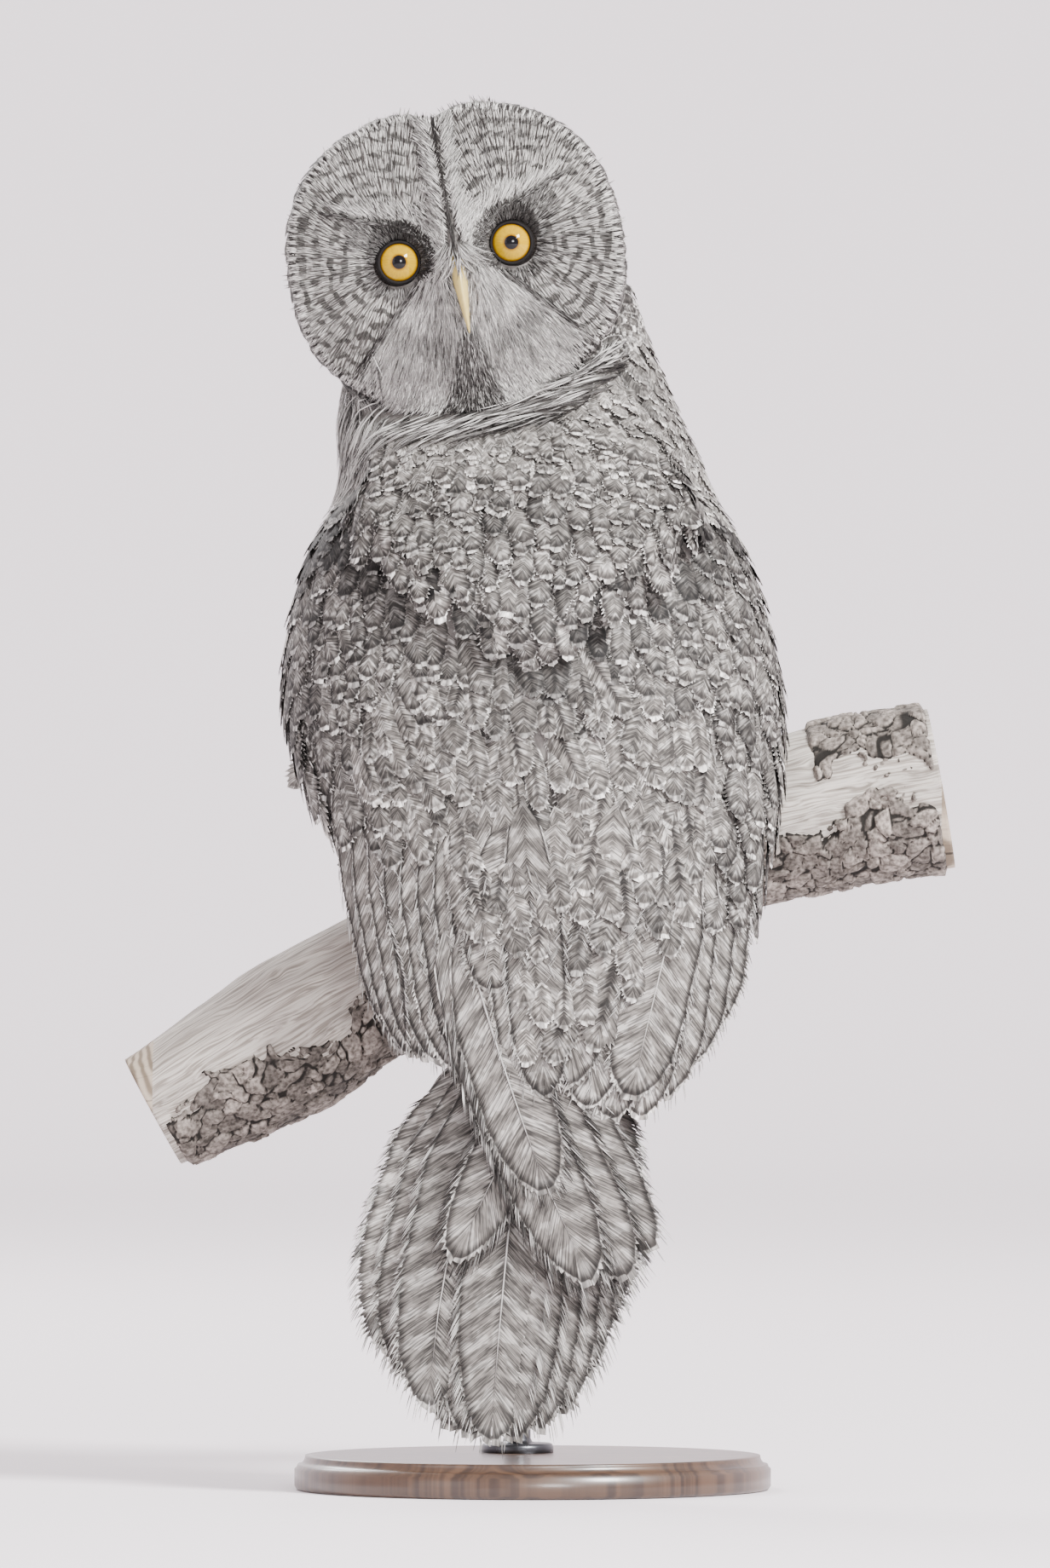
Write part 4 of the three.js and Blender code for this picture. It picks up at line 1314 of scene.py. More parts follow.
@dataclass(frozen=True)
class PlumageFinish:
    """How one kind of feather is coloured and marked."""

    name: str
    ground: Colour = (0.125, 0.117, 0.107)
    pale: Colour = (0.50, 0.485, 0.46)
    dark: Colour = (0.014, 0.012, 0.011)
    spacing: float = 10.0
    bars: float = 0.32
    streak: float = 0.5
    # band: how strong the painted shade inside each feather's edge is.
    band: float = 0.85
    fringe: float = 0.95
    sides: float = 0.975
    rim: float = 2.5
    reach: float = 4.5
    core: float = 0.36
    wobble: float = 1.0
    scatter: float = 7.0
    slant: float = 0.55
    bump: float = 0.4

    def material(self, group: bpy.types.NodeTree) -> bpy.types.Material:
        """Returns the material, with the shared pattern set to this feather's values."""
        w = new_material(self.name)
        colours = {"Ground": (*self.ground, 1), "Pale": (*self.pale, 1), "Dark": (*self.dark, 1)}
        marks = ("spacing", "bars", "streak", "band", "fringe", "sides", "rim", "reach", "core", "wobble",
                 "scatter", "slant")
        made = w.group(group, {**colours, **{mark.title(): getattr(self, mark) for mark in marks}})
        return w.finish(
            made["Color"], made["Height"], self.bump, 0.0006, Roughness=0.7, Specular_IOR_Level=0.2
        )


@dataclass(frozen=True)
class StrandFinish:
    """How loose, hair-like feathers are coloured: by their tone, from dark to pale."""

    name: str
    pale: Colour = (0.62, 0.605, 0.575)
    dark: Colour = (0.012, 0.01, 0.009)
    rings: float = 0.0

    def material(self) -> bpy.types.Material:
        """Returns the material."""
        w = new_material(self.name)
        _, t, seed = w.attribute("vane")
        tone = w.attribute("barb")[2]
        colour = w.mix(tone, (*self.dark, 1), (*self.pale, 1))
        if self.rings:
            colour = w.mix(w.group(disc_rings())["Mask"] * self.rings, colour, (*self.dark, 1))
        factor = w.span(t, 0.0, 0.5, 0.6, 1.0) * (0.85 + seed * 0.3)
        return w.finish(w.shaded(colour, factor), Roughness=0.65, Specular_IOR_Level=0.25)


# The plumage


def towards(x: float, z: float) -> Field:
    """Returns a way that leads to a line across the body, seen from behind, in millimetres."""

    def way(points: Array) -> Array:
        along = np.array([x, 0.0, z]) * MM - points
        along[:, 1] = 0
        return unit(along)

    return way


def on_face(direction: Callable[[Array, Array], tuple[Array, Array, Array]]) -> Field:
    """Returns a way given in the head's own frame, by a function of x and z there."""

    def way(points: Array) -> Array:
        local = HEAD.local(points)
        return unit(np.stack(direction(local[:, 0], local[:, 2]), axis=-1) @ HEAD.turned.T)

    return way


def sloping(across: float, up: float) -> Field:
    """Returns a way over the face that leads outwards and up by the same share everywhere."""
    return on_face(lambda x, z: (across * np.sign(x), 0 * x, up + 0 * x))


def away_from(x: float, z: float) -> Field:
    """Returns a way over the face that leads away from a place on either half of it."""
    return on_face(lambda px, pz: (px - np.where(px < 0, -x, x), 0 * px, pz - z))


def head_back(points: Array) -> Array:
    """Returns how the coat lies on the crown and the back of the head: away from the bill and down."""
    local = HEAD.local(points)
    down = 0.35 + np.clip((local[:, 1] - 10) / 30, 0, 1.6)
    back = np.clip(1.2 - local[:, 1] / 60, 0, 1.2)
    spread = local[:, :1] * 0.006
    return unit(np.concatenate([spread, back[:, None], -down[:, None]], axis=1) @ HEAD.turned.T)


@dataclass
class Roots:
    """Where feathers start, with their rows and their places on the body's unwrap."""

    place: Array
    share: Array
    row: Array
    patch: Array

    def only(self, keep: Array) -> "Roots":
        """Returns those that a mask keeps."""
        return Roots(self.place[keep], self.share[keep], self.row[keep], self.patch[keep])

    def __len__(self) -> int:
        """Returns how many there are."""
        return len(self.place)


def along_ring(
    rng: np.random.Generator, ring: Array, angles: Array, index: int, pitch: float, jitter: float = 0.3
) -> Array:
    """Spreads places evenly along a ring.

    Args:
        rng: The coat's random draws.
        ring: The ring's points in millimetres.
        angles: The angle of each point.
        index: The ring's number. Odd ones are shifted by half a step.
        pitch: The spacing in millimetres.
        jitter: How far each strays, as a part of the spacing.

    Returns:
        The places' angles.
    """
    length = np.concatenate([[0], np.cumsum(np.linalg.norm(np.diff(ring, axis=0), axis=1))])
    count = max(int(length[-1] / pitch), 1)
    at = (np.arange(count) + 0.5 * (index % 2) + rng.uniform(-jitter, jitter, count)) / count
    return np.interp(at * length[-1], length, angles)


def hull_rows(
    rng: np.random.Generator,
    hull: Hull,
    span: tuple[float, float],
    low: Curve | float,
    high: Curve | float,
    pitch: tuple[float, float],
    jitter: float = 0.3,
) -> Roots:
    """Lays out staggered rows round a body outline.

    Args:
        rng: The coat's random draws.
        hull: The outline.
        span: The first and last angle, measured from the middle of the back, in radians.
        low: The lowest row's height in millimetres, or a curve of it from share -1 to 1 of the span's ends.
        high: The highest row's height.
        pitch: The spacing across and down, in millimetres.
        jitter: How far each strays, as a part of the spacing.

    Returns:
        The roots from the lowest row up.
    """
    low = low if callable(low) else Curve([(-1, low), (1, low)])
    high = high if callable(high) else Curve([(-1, high), (1, high)])
    reach = float(np.mean(high(np.linspace(-1, 1, 21)) - low(np.linspace(-1, 1, 21))))
    rows = max(int(round(reach / pitch[1])), 1)
    places, shares, levels, patches = [], [], [], []
    for index in range(rows):
        level = index / max(rows - 1, 1)
        z_here = float(low(0) + (high(0) - low(0)) * level)
        angles = np.linspace(span[0], span[1], 240)
        ring = hull.point(BACK + angles, np.full(240, z_here))
        angle = along_ring(rng, ring, angles, index, pitch[0], jitter)
        count = len(angle)
        share = angle / max(abs(span[0]), abs(span[1]))
        z = low(share) + (high(share) - low(share)) * level + rng.uniform(-jitter, jitter, count) * pitch[1]
        z = np.clip(z, hull.low, hull.high)
        places.append(hull.point(BACK + angle, z) * MM)
        shares.append(share)
        levels.append(np.full(count, level))
        patches.append(np.stack([(angle / (2 * math.pi)) % 1.0, np.clip((z - 150) / 500, 0, 1)], axis=-1))
    return Roots(*(np.concatenate(part) for part in (places, shares, levels, patches)))


def face_grid(
    rng: np.random.Generator, pitch: float, keep: Surface, jitter: float = 0.45
) -> Roots:
    """Scatters places over the face where a mask of x and z, in the head's frame, keeps them."""
    reach = HEAD.half_width + 4
    xs, zs = np.meshgrid(np.arange(-reach, reach, pitch), np.arange(-reach, reach, pitch * 0.87))
    xs = xs + (np.arange(xs.shape[0]) % 2)[:, None] * pitch / 2
    x, z = (part.ravel() + rng.uniform(-jitter, jitter, part.size) * pitch for part in (xs, zs))
    kept = (HEAD.share(x, z) < np.where(z > 0, 0.94, 1.0)) & (HEAD.from_eye(x, z) > 10.5)
    x, z = x[kept], z[kept]
    kept = keep(x, z)
    return on_face_at(x[kept], z[kept])


def on_face_at(x: Array, z: Array) -> Roots:
    """Returns roots at places of the face, in the head's frame."""
    place = HEAD.world(np.stack([x, HEAD.depth(x, z), z], axis=-1))
    patch = np.stack([x, z], axis=-1) / (2 * HEAD.half_width + 10) + 0.5
    return Roots(place, x / HEAD.half_width, z / HEAD.up, np.clip(patch, 0, 1))


class Tract:
    """Sets the feathers of one part of the bird into its coat."""

    def __init__(self, coat: Coat, skin: Skin) -> None:
        """Takes the coat to fill and the skin to set it on."""
        self.coat = coat
        self.skin = skin
        self.rng = coat.rng
        self.drift = 0.16

    def set(
        self,
        template: Template,
        roots: Roots,
        length: float | Array,
        width: float | Array,
        way: Field,
        tone: float | Array = 0.5,
        *,
        spread: float = 0.12,
        vary: float = 0.12,
        scatter: float = 0.12,
        lift: tuple[float, float] = (0.5, 4.0),
        stations: int = 5,
        **shape: float,
    ) -> None:
        """Leads feathers over the skin from their roots.

        Args:
            template: Their shape.
            roots: Where they start.
            length: Their length in millimetres.
            width: Their width in millimetres.
            way: How the coat lies.
            tone: How pale each is, 0 to 1.
            spread: How far they turn from the way, in radians.
            vary: How much their sizes differ.
            scatter: How much their tones differ.
            lift: How far root and tip stand off the skin, in millimetres.
            stations: Points on each path.
            shape: Other settings of Plumes.
        """
        count = len(roots)
        if count == 0:
            return
        size = 1 + self.rng.uniform(-vary, vary, count)
        yaw = self.rng.normal(0, spread, count)
        path, normal = self.skin.walk(roots.place, size * length, way, yaw, lift, stations)
        drift = self.drift * value_noise(roots.place / MM, 34, 1, 5.0)
        shade = np.clip(tone + drift + self.rng.normal(0, scatter, count), 0, 1)
        self.coat.add(template, Plumes(path, normal, size * width, roots.patch, shade, **shape))

    def lay(
        self, template: Template, paths: Array, normals: Array, width: Array, tone: Array, **shape: float
    ) -> None:
        """Sets a template along paths that are given in millimetres."""
        span = paths[:, 0]
        patch = np.stack([(span[:, 0] + 150) / 300, np.clip((span[:, 2] - 20) / 500, 0, 1)], axis=-1)
        self.coat.add(template, Plumes(paths * MM, normals, width, patch, tone, **shape))


# Heights of the lowest coverts' tips round the cloak, by share of the wings' span
COVERT_EDGE = Curve([
    (-1, 352), (-0.61, 338), (-0.36, 330), (-0.25, 316), (-0.205, 275), (-0.113, 240), (-0.01, 222),
    (0.09, 231), (0.18, 250), (0.355, 285), (0.49, 296), (0.76, 290), (1, 300),
])


@dataclass
class BodyPlumage:
    """The mantle, coverts, nape, breast, belly, flanks and legs."""

    covert_pitch: tuple[float, float] = (12.0, 10.5)
    mantle_pitch: tuple[float, float] = (10.5, 9.0)
    front_pitch: tuple[float, float] = (11.0, 10.0)
    neck_pitch: tuple[float, float] = (6.5, 6.5)
    # How much the feathers just below the mantle's edge are darkened, as painted shadow of the mantle.
    shadow: float = 0.48
    scapular_span: float = 0.4
    scapular_top: float = 404
    scapular_pitch: tuple[float, float] = (12.5, 13.5)
    fine: Template = vane_template(9, 1, 0.45, 0.45)
    long: Template = vane_template(20, 2, 0.66, 0.4, shaft=0.88, notch=0.85, hidden=0.3)
    plain: Template = vane_template(6, 1, 0.4, 0.5)
    tuft: Template = vane_template(3, 1, 0.4, 0.5)
    strand: Template = strand_template()

    def coverts(self, tract: Tract) -> None:
        """Sets the coverts in rows that end on the wings' fringe lines, darkened below the mantle's edge as painted
        shadow.
        """
        top = Curve([(-1, 526), (1, 526)])
        roots = hull_rows(tract.rng, CLOAK, (-WING_SPAN, WING_SPAN), COVERT_EDGE, top, self.covert_pitch)
        tips = roots.place / MM
        inner = roots.only((np.abs(roots.share) > self.scapular_span) | (tips[:, 2] > self.scapular_top))
        tips = inner.place / MM
        low = 1 - inner.row
        length, width = 24 + 10 * low, 15.5 + 4.5 * low
        hanging = tips[:, 2] < 352 + 62 * steps(np.abs(inner.share), 0.55, 0.8)
        self.hang(tract, inner.only(hanging), length[hanging], width[hanging], self.fine)
        inner.place[:, 2] += (length * 0.92) * MM
        shield = mantle_low(tips[:, 0])
        covered = (tips[:, 2] > shield + 13) & (tips[:, 1] < 0)
        keep = ~hanging & ~covered & (inner.place[:, 2] < 0.545)
        # Coverts just below the mantle's edge are darkened as painted shadow of the mantle.
        tone = 0.5 - self.shadow * steps(tips[:, 2], shield - 36, shield - 16) * (tips[:, 1] < 0)
        tract.set(
            self.fine, inner.only(keep), length[keep], width[keep], towards(0, -80), tone[keep], spread=0.2,
            vary=0.2, lift=(0.4, 3.6), thick=0.35, camber=0.26, tooth=0.35,
        )

    def scapulars(self, tract: Tract) -> None:
        """Sets the long, streaked feathers down the middle of the back."""
        span = self.scapular_span
        low = Curve([(share, COVERT_EDGE(share * span)) for share in np.linspace(-1, 1, 21)])
        top = Curve([(-1, 372), (-0.6, 398), (0, 416), (0.6, 398), (1, 372)])
        reach = span * WING_SPAN
        roots = hull_rows(tract.rng, CLOAK, (-reach, reach), low, top, self.scapular_pitch)
        size = tract.rng.uniform(0.75, 1.2, len(roots))
        roots.place[:, 2] += tract.rng.normal(0, 3.5, len(roots)) * MM
        self.hang(tract, roots, (62 - 26 * roots.row) * size, (21 - 5 * roots.row) * size, self.long, 0.17)

    def hang(
        self, tract: Tract, tips: Roots, length: Array, width: Array, template: Template, spread: float = 0.1
    ) -> None:
        """Sets feathers down the outline of the folded wings by the places of their tips.

        Args:
            tract: The tract that they join.
            tips: The tips' places.
            length: Their lengths in millimetres.
            width: Their widths in millimetres.
            template: Their shape.
            spread: How far they turn from straight down, in radians.
        """
        t = np.linspace(0, 1, 7)[None, :]
        rng = tract.rng
        place = tips.place / MM
        is_covert = template is self.fine
        angle = tips.share * WING_SPAN * (1 if is_covert else self.scapular_span)
        back = (1 - t) * (length * (1 + rng.uniform(-0.12, 0.12, len(tips))))[:, None]
        turn = rng.normal(0, spread, len(tips))[:, None] * back / 110
        z = np.minimum(place[:, 2:] + back * 0.985, CLOAK.high - 3)
        raised = 0.0 if is_covert else 2.8
        aside = steps(np.abs(angle), 1.2, 1.45)
        base = -4.4 + raised * steps(place[:, 2:], 345, 300) - 1.2 * aside[:, None]
        grow = base + 5.0 * t**0.9 + rng.uniform(-0.4, 0.4, len(tips))[:, None]
        path = CLOAK.point(BACK + angle[:, None] + turn, z, grow)
        normal = CLOAK.out(BACK + angle[:, None] + turn, z)
        shield = mantle_low(place[:, 0])
        # Feathers just below the mantle's edge are darkened as painted shadow of the mantle.
        shade = 0.5 - self.shadow * steps(place[:, 2], shield - 40, shield - 18) * (place[:, 1] < 0)
        tone = np.clip(shade + rng.normal(0, 0.14, len(tips)), 0, 1)
        width = width * (1 - 0.5 * aside)
        plumes = Plumes(path * MM, normal, width, tips.patch, tone, thick=0.35, camber=0.22)
        tract.coat.add(template, plumes)

    def mantle(self, tract: Tract) -> None:
        """Sets the heart-shaped shield of back feathers over the coverts."""
        edge = Curve([(share, MANTLE_EDGE(share) + 6) for share in np.linspace(-1, 1, 15)])
        top = Curve([(-1, 545), (-0.5, 560), (0, 566), (0.5, 560), (1, 545)])
        roots = hull_rows(tract.rng, MANTLE, (-1.0, 1.0), edge, top, self.mantle_pitch)
        roots.place[:, 2] += 18 * MM
        local = HEAD.local(roots.place)
        roots = roots.only(HEAD.share(local[:, 0], local[:, 2]) > 1.06)
        edge_row = roots.only(roots.row < 0.1)
        edge_row.place[:, 0] += 5 * MM
        tract.set(
            self.fine, edge_row, 26, 15, towards(0, 250), 0.8, spread=0.2, vary=0.15, lift=(0.2, 3.6),
            thick=0.35, camber=0.24, tooth=0.35,
        )
        tract.set(
            self.fine, roots, 28, 16.5, towards(0, 250), 0.53 + 0.3 * (roots.row < 0.1), spread=0.22,
            vary=0.15, lift=(0.4, 5.2), thick=0.35, camber=0.24, tooth=0.35,
        )

    def nape(self, tract: Tract) -> None:
        """Sets the soft feathers round the neck."""
        roots = hull_rows(tract.rng, TRUNK, (-math.pi, math.pi), 520, 632, self.neck_pitch)
        local = HEAD.local(roots.place)
        under_face = (HEAD.share(local[:, 0], local[:, 2]) < 1.1) & (roots.place[:, 1] < 0.05)
        roots = roots.only(~under_face)
        back = roots.place[:, 1] < 0.03
        down = towards(-10, -200)
        tract.set(
            self.plain, roots.only(back), 20, 10, down, 0.55, spread=0.25, lift=(0.4, 4.0), camber=0.25
        )
        tract.set(
            self.plain, roots.only(~back), 24, 13, down, 0.6, spread=0.2, lift=(0.4, 4.5), camber=0.25
        )

    def under(self, tract: Tract) -> None:
        """Sets a thin coat of short feathers over the whole skin, under all others."""
        places = tract.skin.scatter(tract.rng, 4200)
        bare = HEAD.local(places)
        keep = (HEAD.share(bare[:, 0], bare[:, 2]) > 1.03) | (bare[:, 1] > 0)
        places = places[keep]
        turn = np.arctan2(places[:, 1], places[:, 0]) / (2 * math.pi) % 1
        patch = np.stack([turn, np.clip((places[:, 2] - 0.15) / 0.6, 0, 1)], axis=-1)
        roots = Roots(places, turn, turn, patch)
        tract.set(self.plain, roots, 13, 9, towards(0, -900), 0.4, spread=0.5, lift=(0.2, 1.3), camber=0.2)

    def front(self, tract: Tract) -> None:
        """Sets the breast, belly and flanks."""
        for first, last in ((1.35, math.pi), (-math.pi, -1.35)):
            roots = hull_rows(tract.rng, TRUNK, (first, last), 262, 548, self.front_pitch)
            tract.set(
                self.plain, roots, 30, 17, towards(0, -900), 0.62, spread=0.15, lift=(0.6, 5.5), tooth=0.4,
            )
        roots = hull_rows(tract.rng, TRUNK, (-1.4, 1.4), 246, 300, (10, 9))
        tract.set(self.plain, roots, 24, 14, towards(0, -900), 0.65, spread=0.2, lift=(0.6, 5.0), tooth=0.4)

    def legs(self, tract: Tract) -> None:
        """Sets the small feathers of the thighs, shanks and toes."""
        for side in Side:
            form = FootForm(side)
            turns = np.linspace(0, 2 * math.pi, 28, endpoint=False)
            share, turn = np.meshgrid(np.linspace(0.04, 0.95, 30), turns)
            share, turn = share.ravel(), turn.ravel() + share.ravel() * 40
            place = form.leg(2)(turn, share)
            patch = np.stack([(turn / (2 * math.pi)) % 1, 0.05 + 0.3 * share], axis=-1)
            roots = Roots(place, share, share, patch)
            tract.set(
                self.tuft, roots, 13 + 12 * share, 6 + 7 * share, towards(0, -3000), 0.72, spread=0.15,
                lift=(0.5, 3.5), tooth=0.3,
            )
            for number, toe in enumerate(TOES):
                ring = form.toe(*toe, 1.0)
                share, turn = np.meshgrid(np.linspace(0.02, 0.97, 16), np.linspace(-0.6, 3.8, 13))
                share, turn = share.ravel() + 0.02 * np.sin(9 * turn.ravel()), turn.ravel()
                place = ring(turn, share)
                ahead = unit(ring(turn, np.minimum(share + 0.1, 1.05)) - place)
                patch = np.stack([0.1 + 0.2 * number + 0.15 * share, 0.02 + 0.01 * turn], axis=-1) % 1.0

                def along(points: Array, place: Array = place, ahead: Array = ahead) -> Array:
                    gaps = np.linalg.norm(points[:, None] - place[None], axis=2)
                    return ahead[gaps.argmin(axis=1)]

                tract.set(
                    self.tuft, Roots(place, share, share, patch), 8.5, 4.5, along, 0.75, spread=0.2,
                    lift=(0.3, 1.8), tooth=0.4, thick=0.25,
                )

    def strands(self, tract: Tract) -> None:
        """Sets the loose, wavy strands of the neck's left side and of the collar along the face's rim."""
        roots = hull_rows(tract.rng, TRUNK, (-2.5, -0.75), 540, 606, (1.5, 7))
        tone = np.where(tract.rng.random(len(roots)) < 0.5, 0.8, 0.25)
        tract.set(
            self.strand, roots, 30, 1.1, towards(-20, -200), tone, spread=0.16, vary=0.3, lift=(2.0, 5.0),
            stations=6, camber=0.0,
        )
        roots = hull_rows(tract.rng, TRUNK, (-1.5, 1.0), 540, 604, (1.6, 6))
        local = HEAD.local(roots.place)
        share = HEAD.share(local[:, 0], local[:, 2])
        roots = roots.only((share > 1.0) & (share < 1.22))
        tone = np.where(tract.rng.random(len(roots)) < 0.6, 0.8, 0.2)
        # The strands at the collar's outer edge are darkened as a painted shadow line where the collar lies over the
        # neck.
        tone = tone * (1 - 0.9 * steps(share[(share > 1.0) & (share < 1.22)], 1.16, 1.2))
        tract.set(
            self.strand, roots, 26, 1.2, towards(-260, 380), tone, spread=0.12, vary=0.3, lift=(3.0, 6.0),
            stations=6, camber=0.0,
        )


@dataclass
class HeadPlumage:
    """The crown, the back of the head and the facial disc with its ruff."""

    ring_first: float = 13.5
    disc_row: float = 2.1
    disc_pitch: float = 1.55
    ticks: int = 140
    brow_line: Curve = Curve([
        (13.5, 1), (15, 7), (18, 14), (22, 18), (30, 20.9), (42, 24.8), (55, 30.8), (63, 32.5),
    ])
    plain: Template = vane_template(5, 1, 0.4, 0.5)
    strand: Template = strand_template()

    def brow(self, x: Array) -> Array:
        """Returns the brow line's height at each place across the face."""
        return self.brow_line(np.abs(x))

    def crescent(self, x: Array, z: Array) -> Array:
        """Returns whether each place lies in the pale crescents beside and below the bill."""
        wide = 18 + 0.97 * np.clip(-8 - z, 0, 60)
        across, down = np.abs(x) - 5, z - 14
        ahead = 8 / np.maximum(np.hypot(across, down), 1)
        passing = HEAD.from_eye(np.abs(x) + across * ahead, z + down * ahead)
        clear = (HEAD.from_eye(x, z) > 14.3) & (passing > 15) & ~self.chin(x, z)
        return (z < 2) & (np.abs(x) < wide) & (z > -52 + 0.1 * np.abs(x)) & clear

    def lores(self, x: Array, z: Array) -> tuple[Array, Array]:
        """Returns each place's distance from the lids, and how deep the dark arcs by the eyes are there."""
        turn = np.degrees(np.arctan2(z - HEAD.eye_height, np.abs(x) - HEAD.eye_apart / 2))
        turn = np.where(turn < -90, turn + 360, turn)
        deep = np.interp(turn, [5, 30, 60, 90, 135, 180, 215, 235], [0, 1.5, 6, 6.4, 6.2, 5.0, 2.4, 0])
        return HEAD.from_eye(x, z) - 12.3, deep

    def past_lores(self, x: Array, z: Array) -> Array:
        """Returns each place's distance from the dark arcs over and inside the eyes, below 0 on them."""
        away, deep = self.lores(x, z)
        return away - deep

    def chin(self, x: Array, z: Array) -> Array:
        """Returns whether each place lies in the dark patch under the bill."""
        return within(z, -80, -35) & (np.abs(x - 0.08 * (z + 35)) < 3.0 - 0.27 * (z + 35))

    def smudge(self, x: Array, z: Array) -> Array:
        """Returns whether each place lies in the grey bow that crosses the pale crescents."""
        away = np.hypot(np.abs(x) - 5, z - 14)
        return (np.abs(away - 52 + 0.12 * np.abs(x)) < 7) & (np.abs(x) > 11)

    def centre(self, x: Array, z: Array) -> Array:
        """Returns whether each place lies in the middle of the face, where no disc feathers grow."""
        between = (np.abs(x) < 16) & (z > -10) & (z < 20)
        groove = (np.abs(x) < 4.5) & (z >= 20)
        chin = (np.abs(x) < 20) & (z < -40)
        return between | groove | chin | self.crescent(x, z)

    def back(self, tract: Tract) -> None:
        """Sets the small feathers of the crown, nape and sides."""
        pitch = 5.2
        places, patches = [], []
        for index, way in enumerate(np.arange(HEAD.face_share + 0.02, 0.995, 0.021)):
            turn = np.linspace(0, 2 * math.pi, 1440)
            ring = HEAD.shell(turn, np.full_like(turn, way))
            angle = along_ring(tract.rng, ring, turn, index, pitch)
            steady = np.clip(way + tract.rng.uniform(-0.006, 0.006, len(angle)), 0, 1)
            places.append(HEAD.world(HEAD.shell(angle, steady)))
            patches.append(np.stack([(angle / (2 * math.pi)) % 1, steady], axis=-1))
        place, patch = np.concatenate(places), np.concatenate(patches)
        above = place[:, 2] > 0.585
        roots = Roots(place[above], place[above][:, 0], place[above][:, 2], patch[above])
        tract.set(
            self.plain, roots, 15, 8, head_back, 0.5, spread=0.2, lift=(0.5, 3.0), tooth=0.3, thick=0.3,
        )

    def rings(self, tract: Tract) -> None:
        """Sets the disc's fine barbs out from each eye, darker in broken rings."""
        rng = tract.rng
        for side in Side:
            for radius in np.arange(self.ring_first, 108, self.disc_row):
                count = int(2 * math.pi * radius / self.disc_pitch)
                turn = (np.arange(count) + rng.uniform(0, 1, count)) / count * 2 * math.pi
                r = radius + rng.uniform(-1, 1, count)
                x = side.value * HEAD.eye_apart / 2 + side.value * r * np.cos(turn)
                z = HEAD.eye_height + r * np.sin(turn)
                keep = (x * side.value > 2) & (HEAD.share(x, z) < 0.93) & ~self.centre(x, z)
                tract.set(
                    self.strand, on_face_at(x[keep], z[keep]), 10, 1.05, self.from_eye, 0.66, spread=0.08,
                    vary=0.15, scatter=0.13, lift=(0.7, 2.2), stations=4, camber=0.0,
                )

    def rays(self, tract: Tract) -> None:
        """Sets thin dark lines that lead from the eyes to the rim, between sectors of the disc."""
        for side in Side:
            for turn in np.radians([-44, -22, -3, 14, 48, 74, 96]):
                r = np.arange(17, 90, 3.5) + tract.rng.uniform(-1, 1, 21)
                bent = turn + 0.03 * np.sin(r / 14) + tract.rng.normal(0, 0.008, len(r))
                x = side.value * (HEAD.eye_apart / 2 + r * np.cos(bent))
                z = HEAD.eye_height + r * np.sin(bent)
                keep = (HEAD.share(x, z) < 0.88) & ~self.centre(x, z)
                tract.set(
                    self.strand, on_face_at(x[keep], z[keep]), 8, 0.75, self.from_eye, 0.14, spread=0.04,
                    lift=(2.2, 2.9), stations=4, camber=0.0,
                )

    def from_eye(self, points: Array) -> Array:
        """Returns the way over the face that leads out from the nearer eye."""
        return away_from(HEAD.eye_apart / 2, HEAD.eye_height)(points)

    def ruff(self, tract: Tract) -> None:
        """Sets the rope-like rim of the disc from short barbs in dark and pale groups."""
        for row, share in enumerate(np.linspace(0.905, 0.985, 6)):
            count = 640
            turn = (np.arange(count) + tract.rng.uniform(0, 1, count)) / count * 2 * math.pi
            r = HEAD.rim(turn) * share
            roots = on_face_at(r * np.cos(turn), r * np.sin(turn))
            low = np.sin(turn) < -0.3
            roots.place[low] = tract.skin.seen(roots.place[low])
            group = np.sin(turn * self.ticks + 1.2 * np.sin(turn * 31) + 0.5 * row)
            edge = 0.3 * steps(np.array([share]), 0.95, 0.985)[0]
            tone = 0.46 - edge + 0.46 * np.tanh(4 * group + 0.5)
            tract.set(
                self.strand, roots, 7.0, 1.15, self.outward, tone, spread=0.1, scatter=0.1,
                lift=(0.7, 2.6 - 0.3 * row), stations=4, camber=0.0,
            )

    def outward(self, points: Array) -> Array:
        """Returns the way over the rim that leads out from the face and slightly back."""
        return on_face(lambda x, z: (x, 1.1 * np.hypot(x, z), z))(points)

    def put(
        self, tract: Tract, pitch: float, keep: Surface, length: float, width: float, way: Field, tone: float,
        **more: object,
    ) -> None:
        """Sets fine bristles of one kind.

        Args:
            tract: The tract that they join.
            pitch: Their spacing in millimetres.
            keep: Gives where they grow, from x and z in the head's frame.
            length: Their length in millimetres.
            width: Their width in millimetres.
            way: How they lie.
            tone: How pale they are, 0 to 1.
            more: Other settings of Tract.set.
        """
        usual = {
            "spread": 0.13, "vary": 0.3, "scatter": 0.14, "lift": (0.4, 3.2), "stations": 4, "camber": 0.0,
        }
        roots = face_grid(tract.rng, pitch, keep)
        tract.set(self.strand, roots, length, width, way, tone, **{**usual, **more})

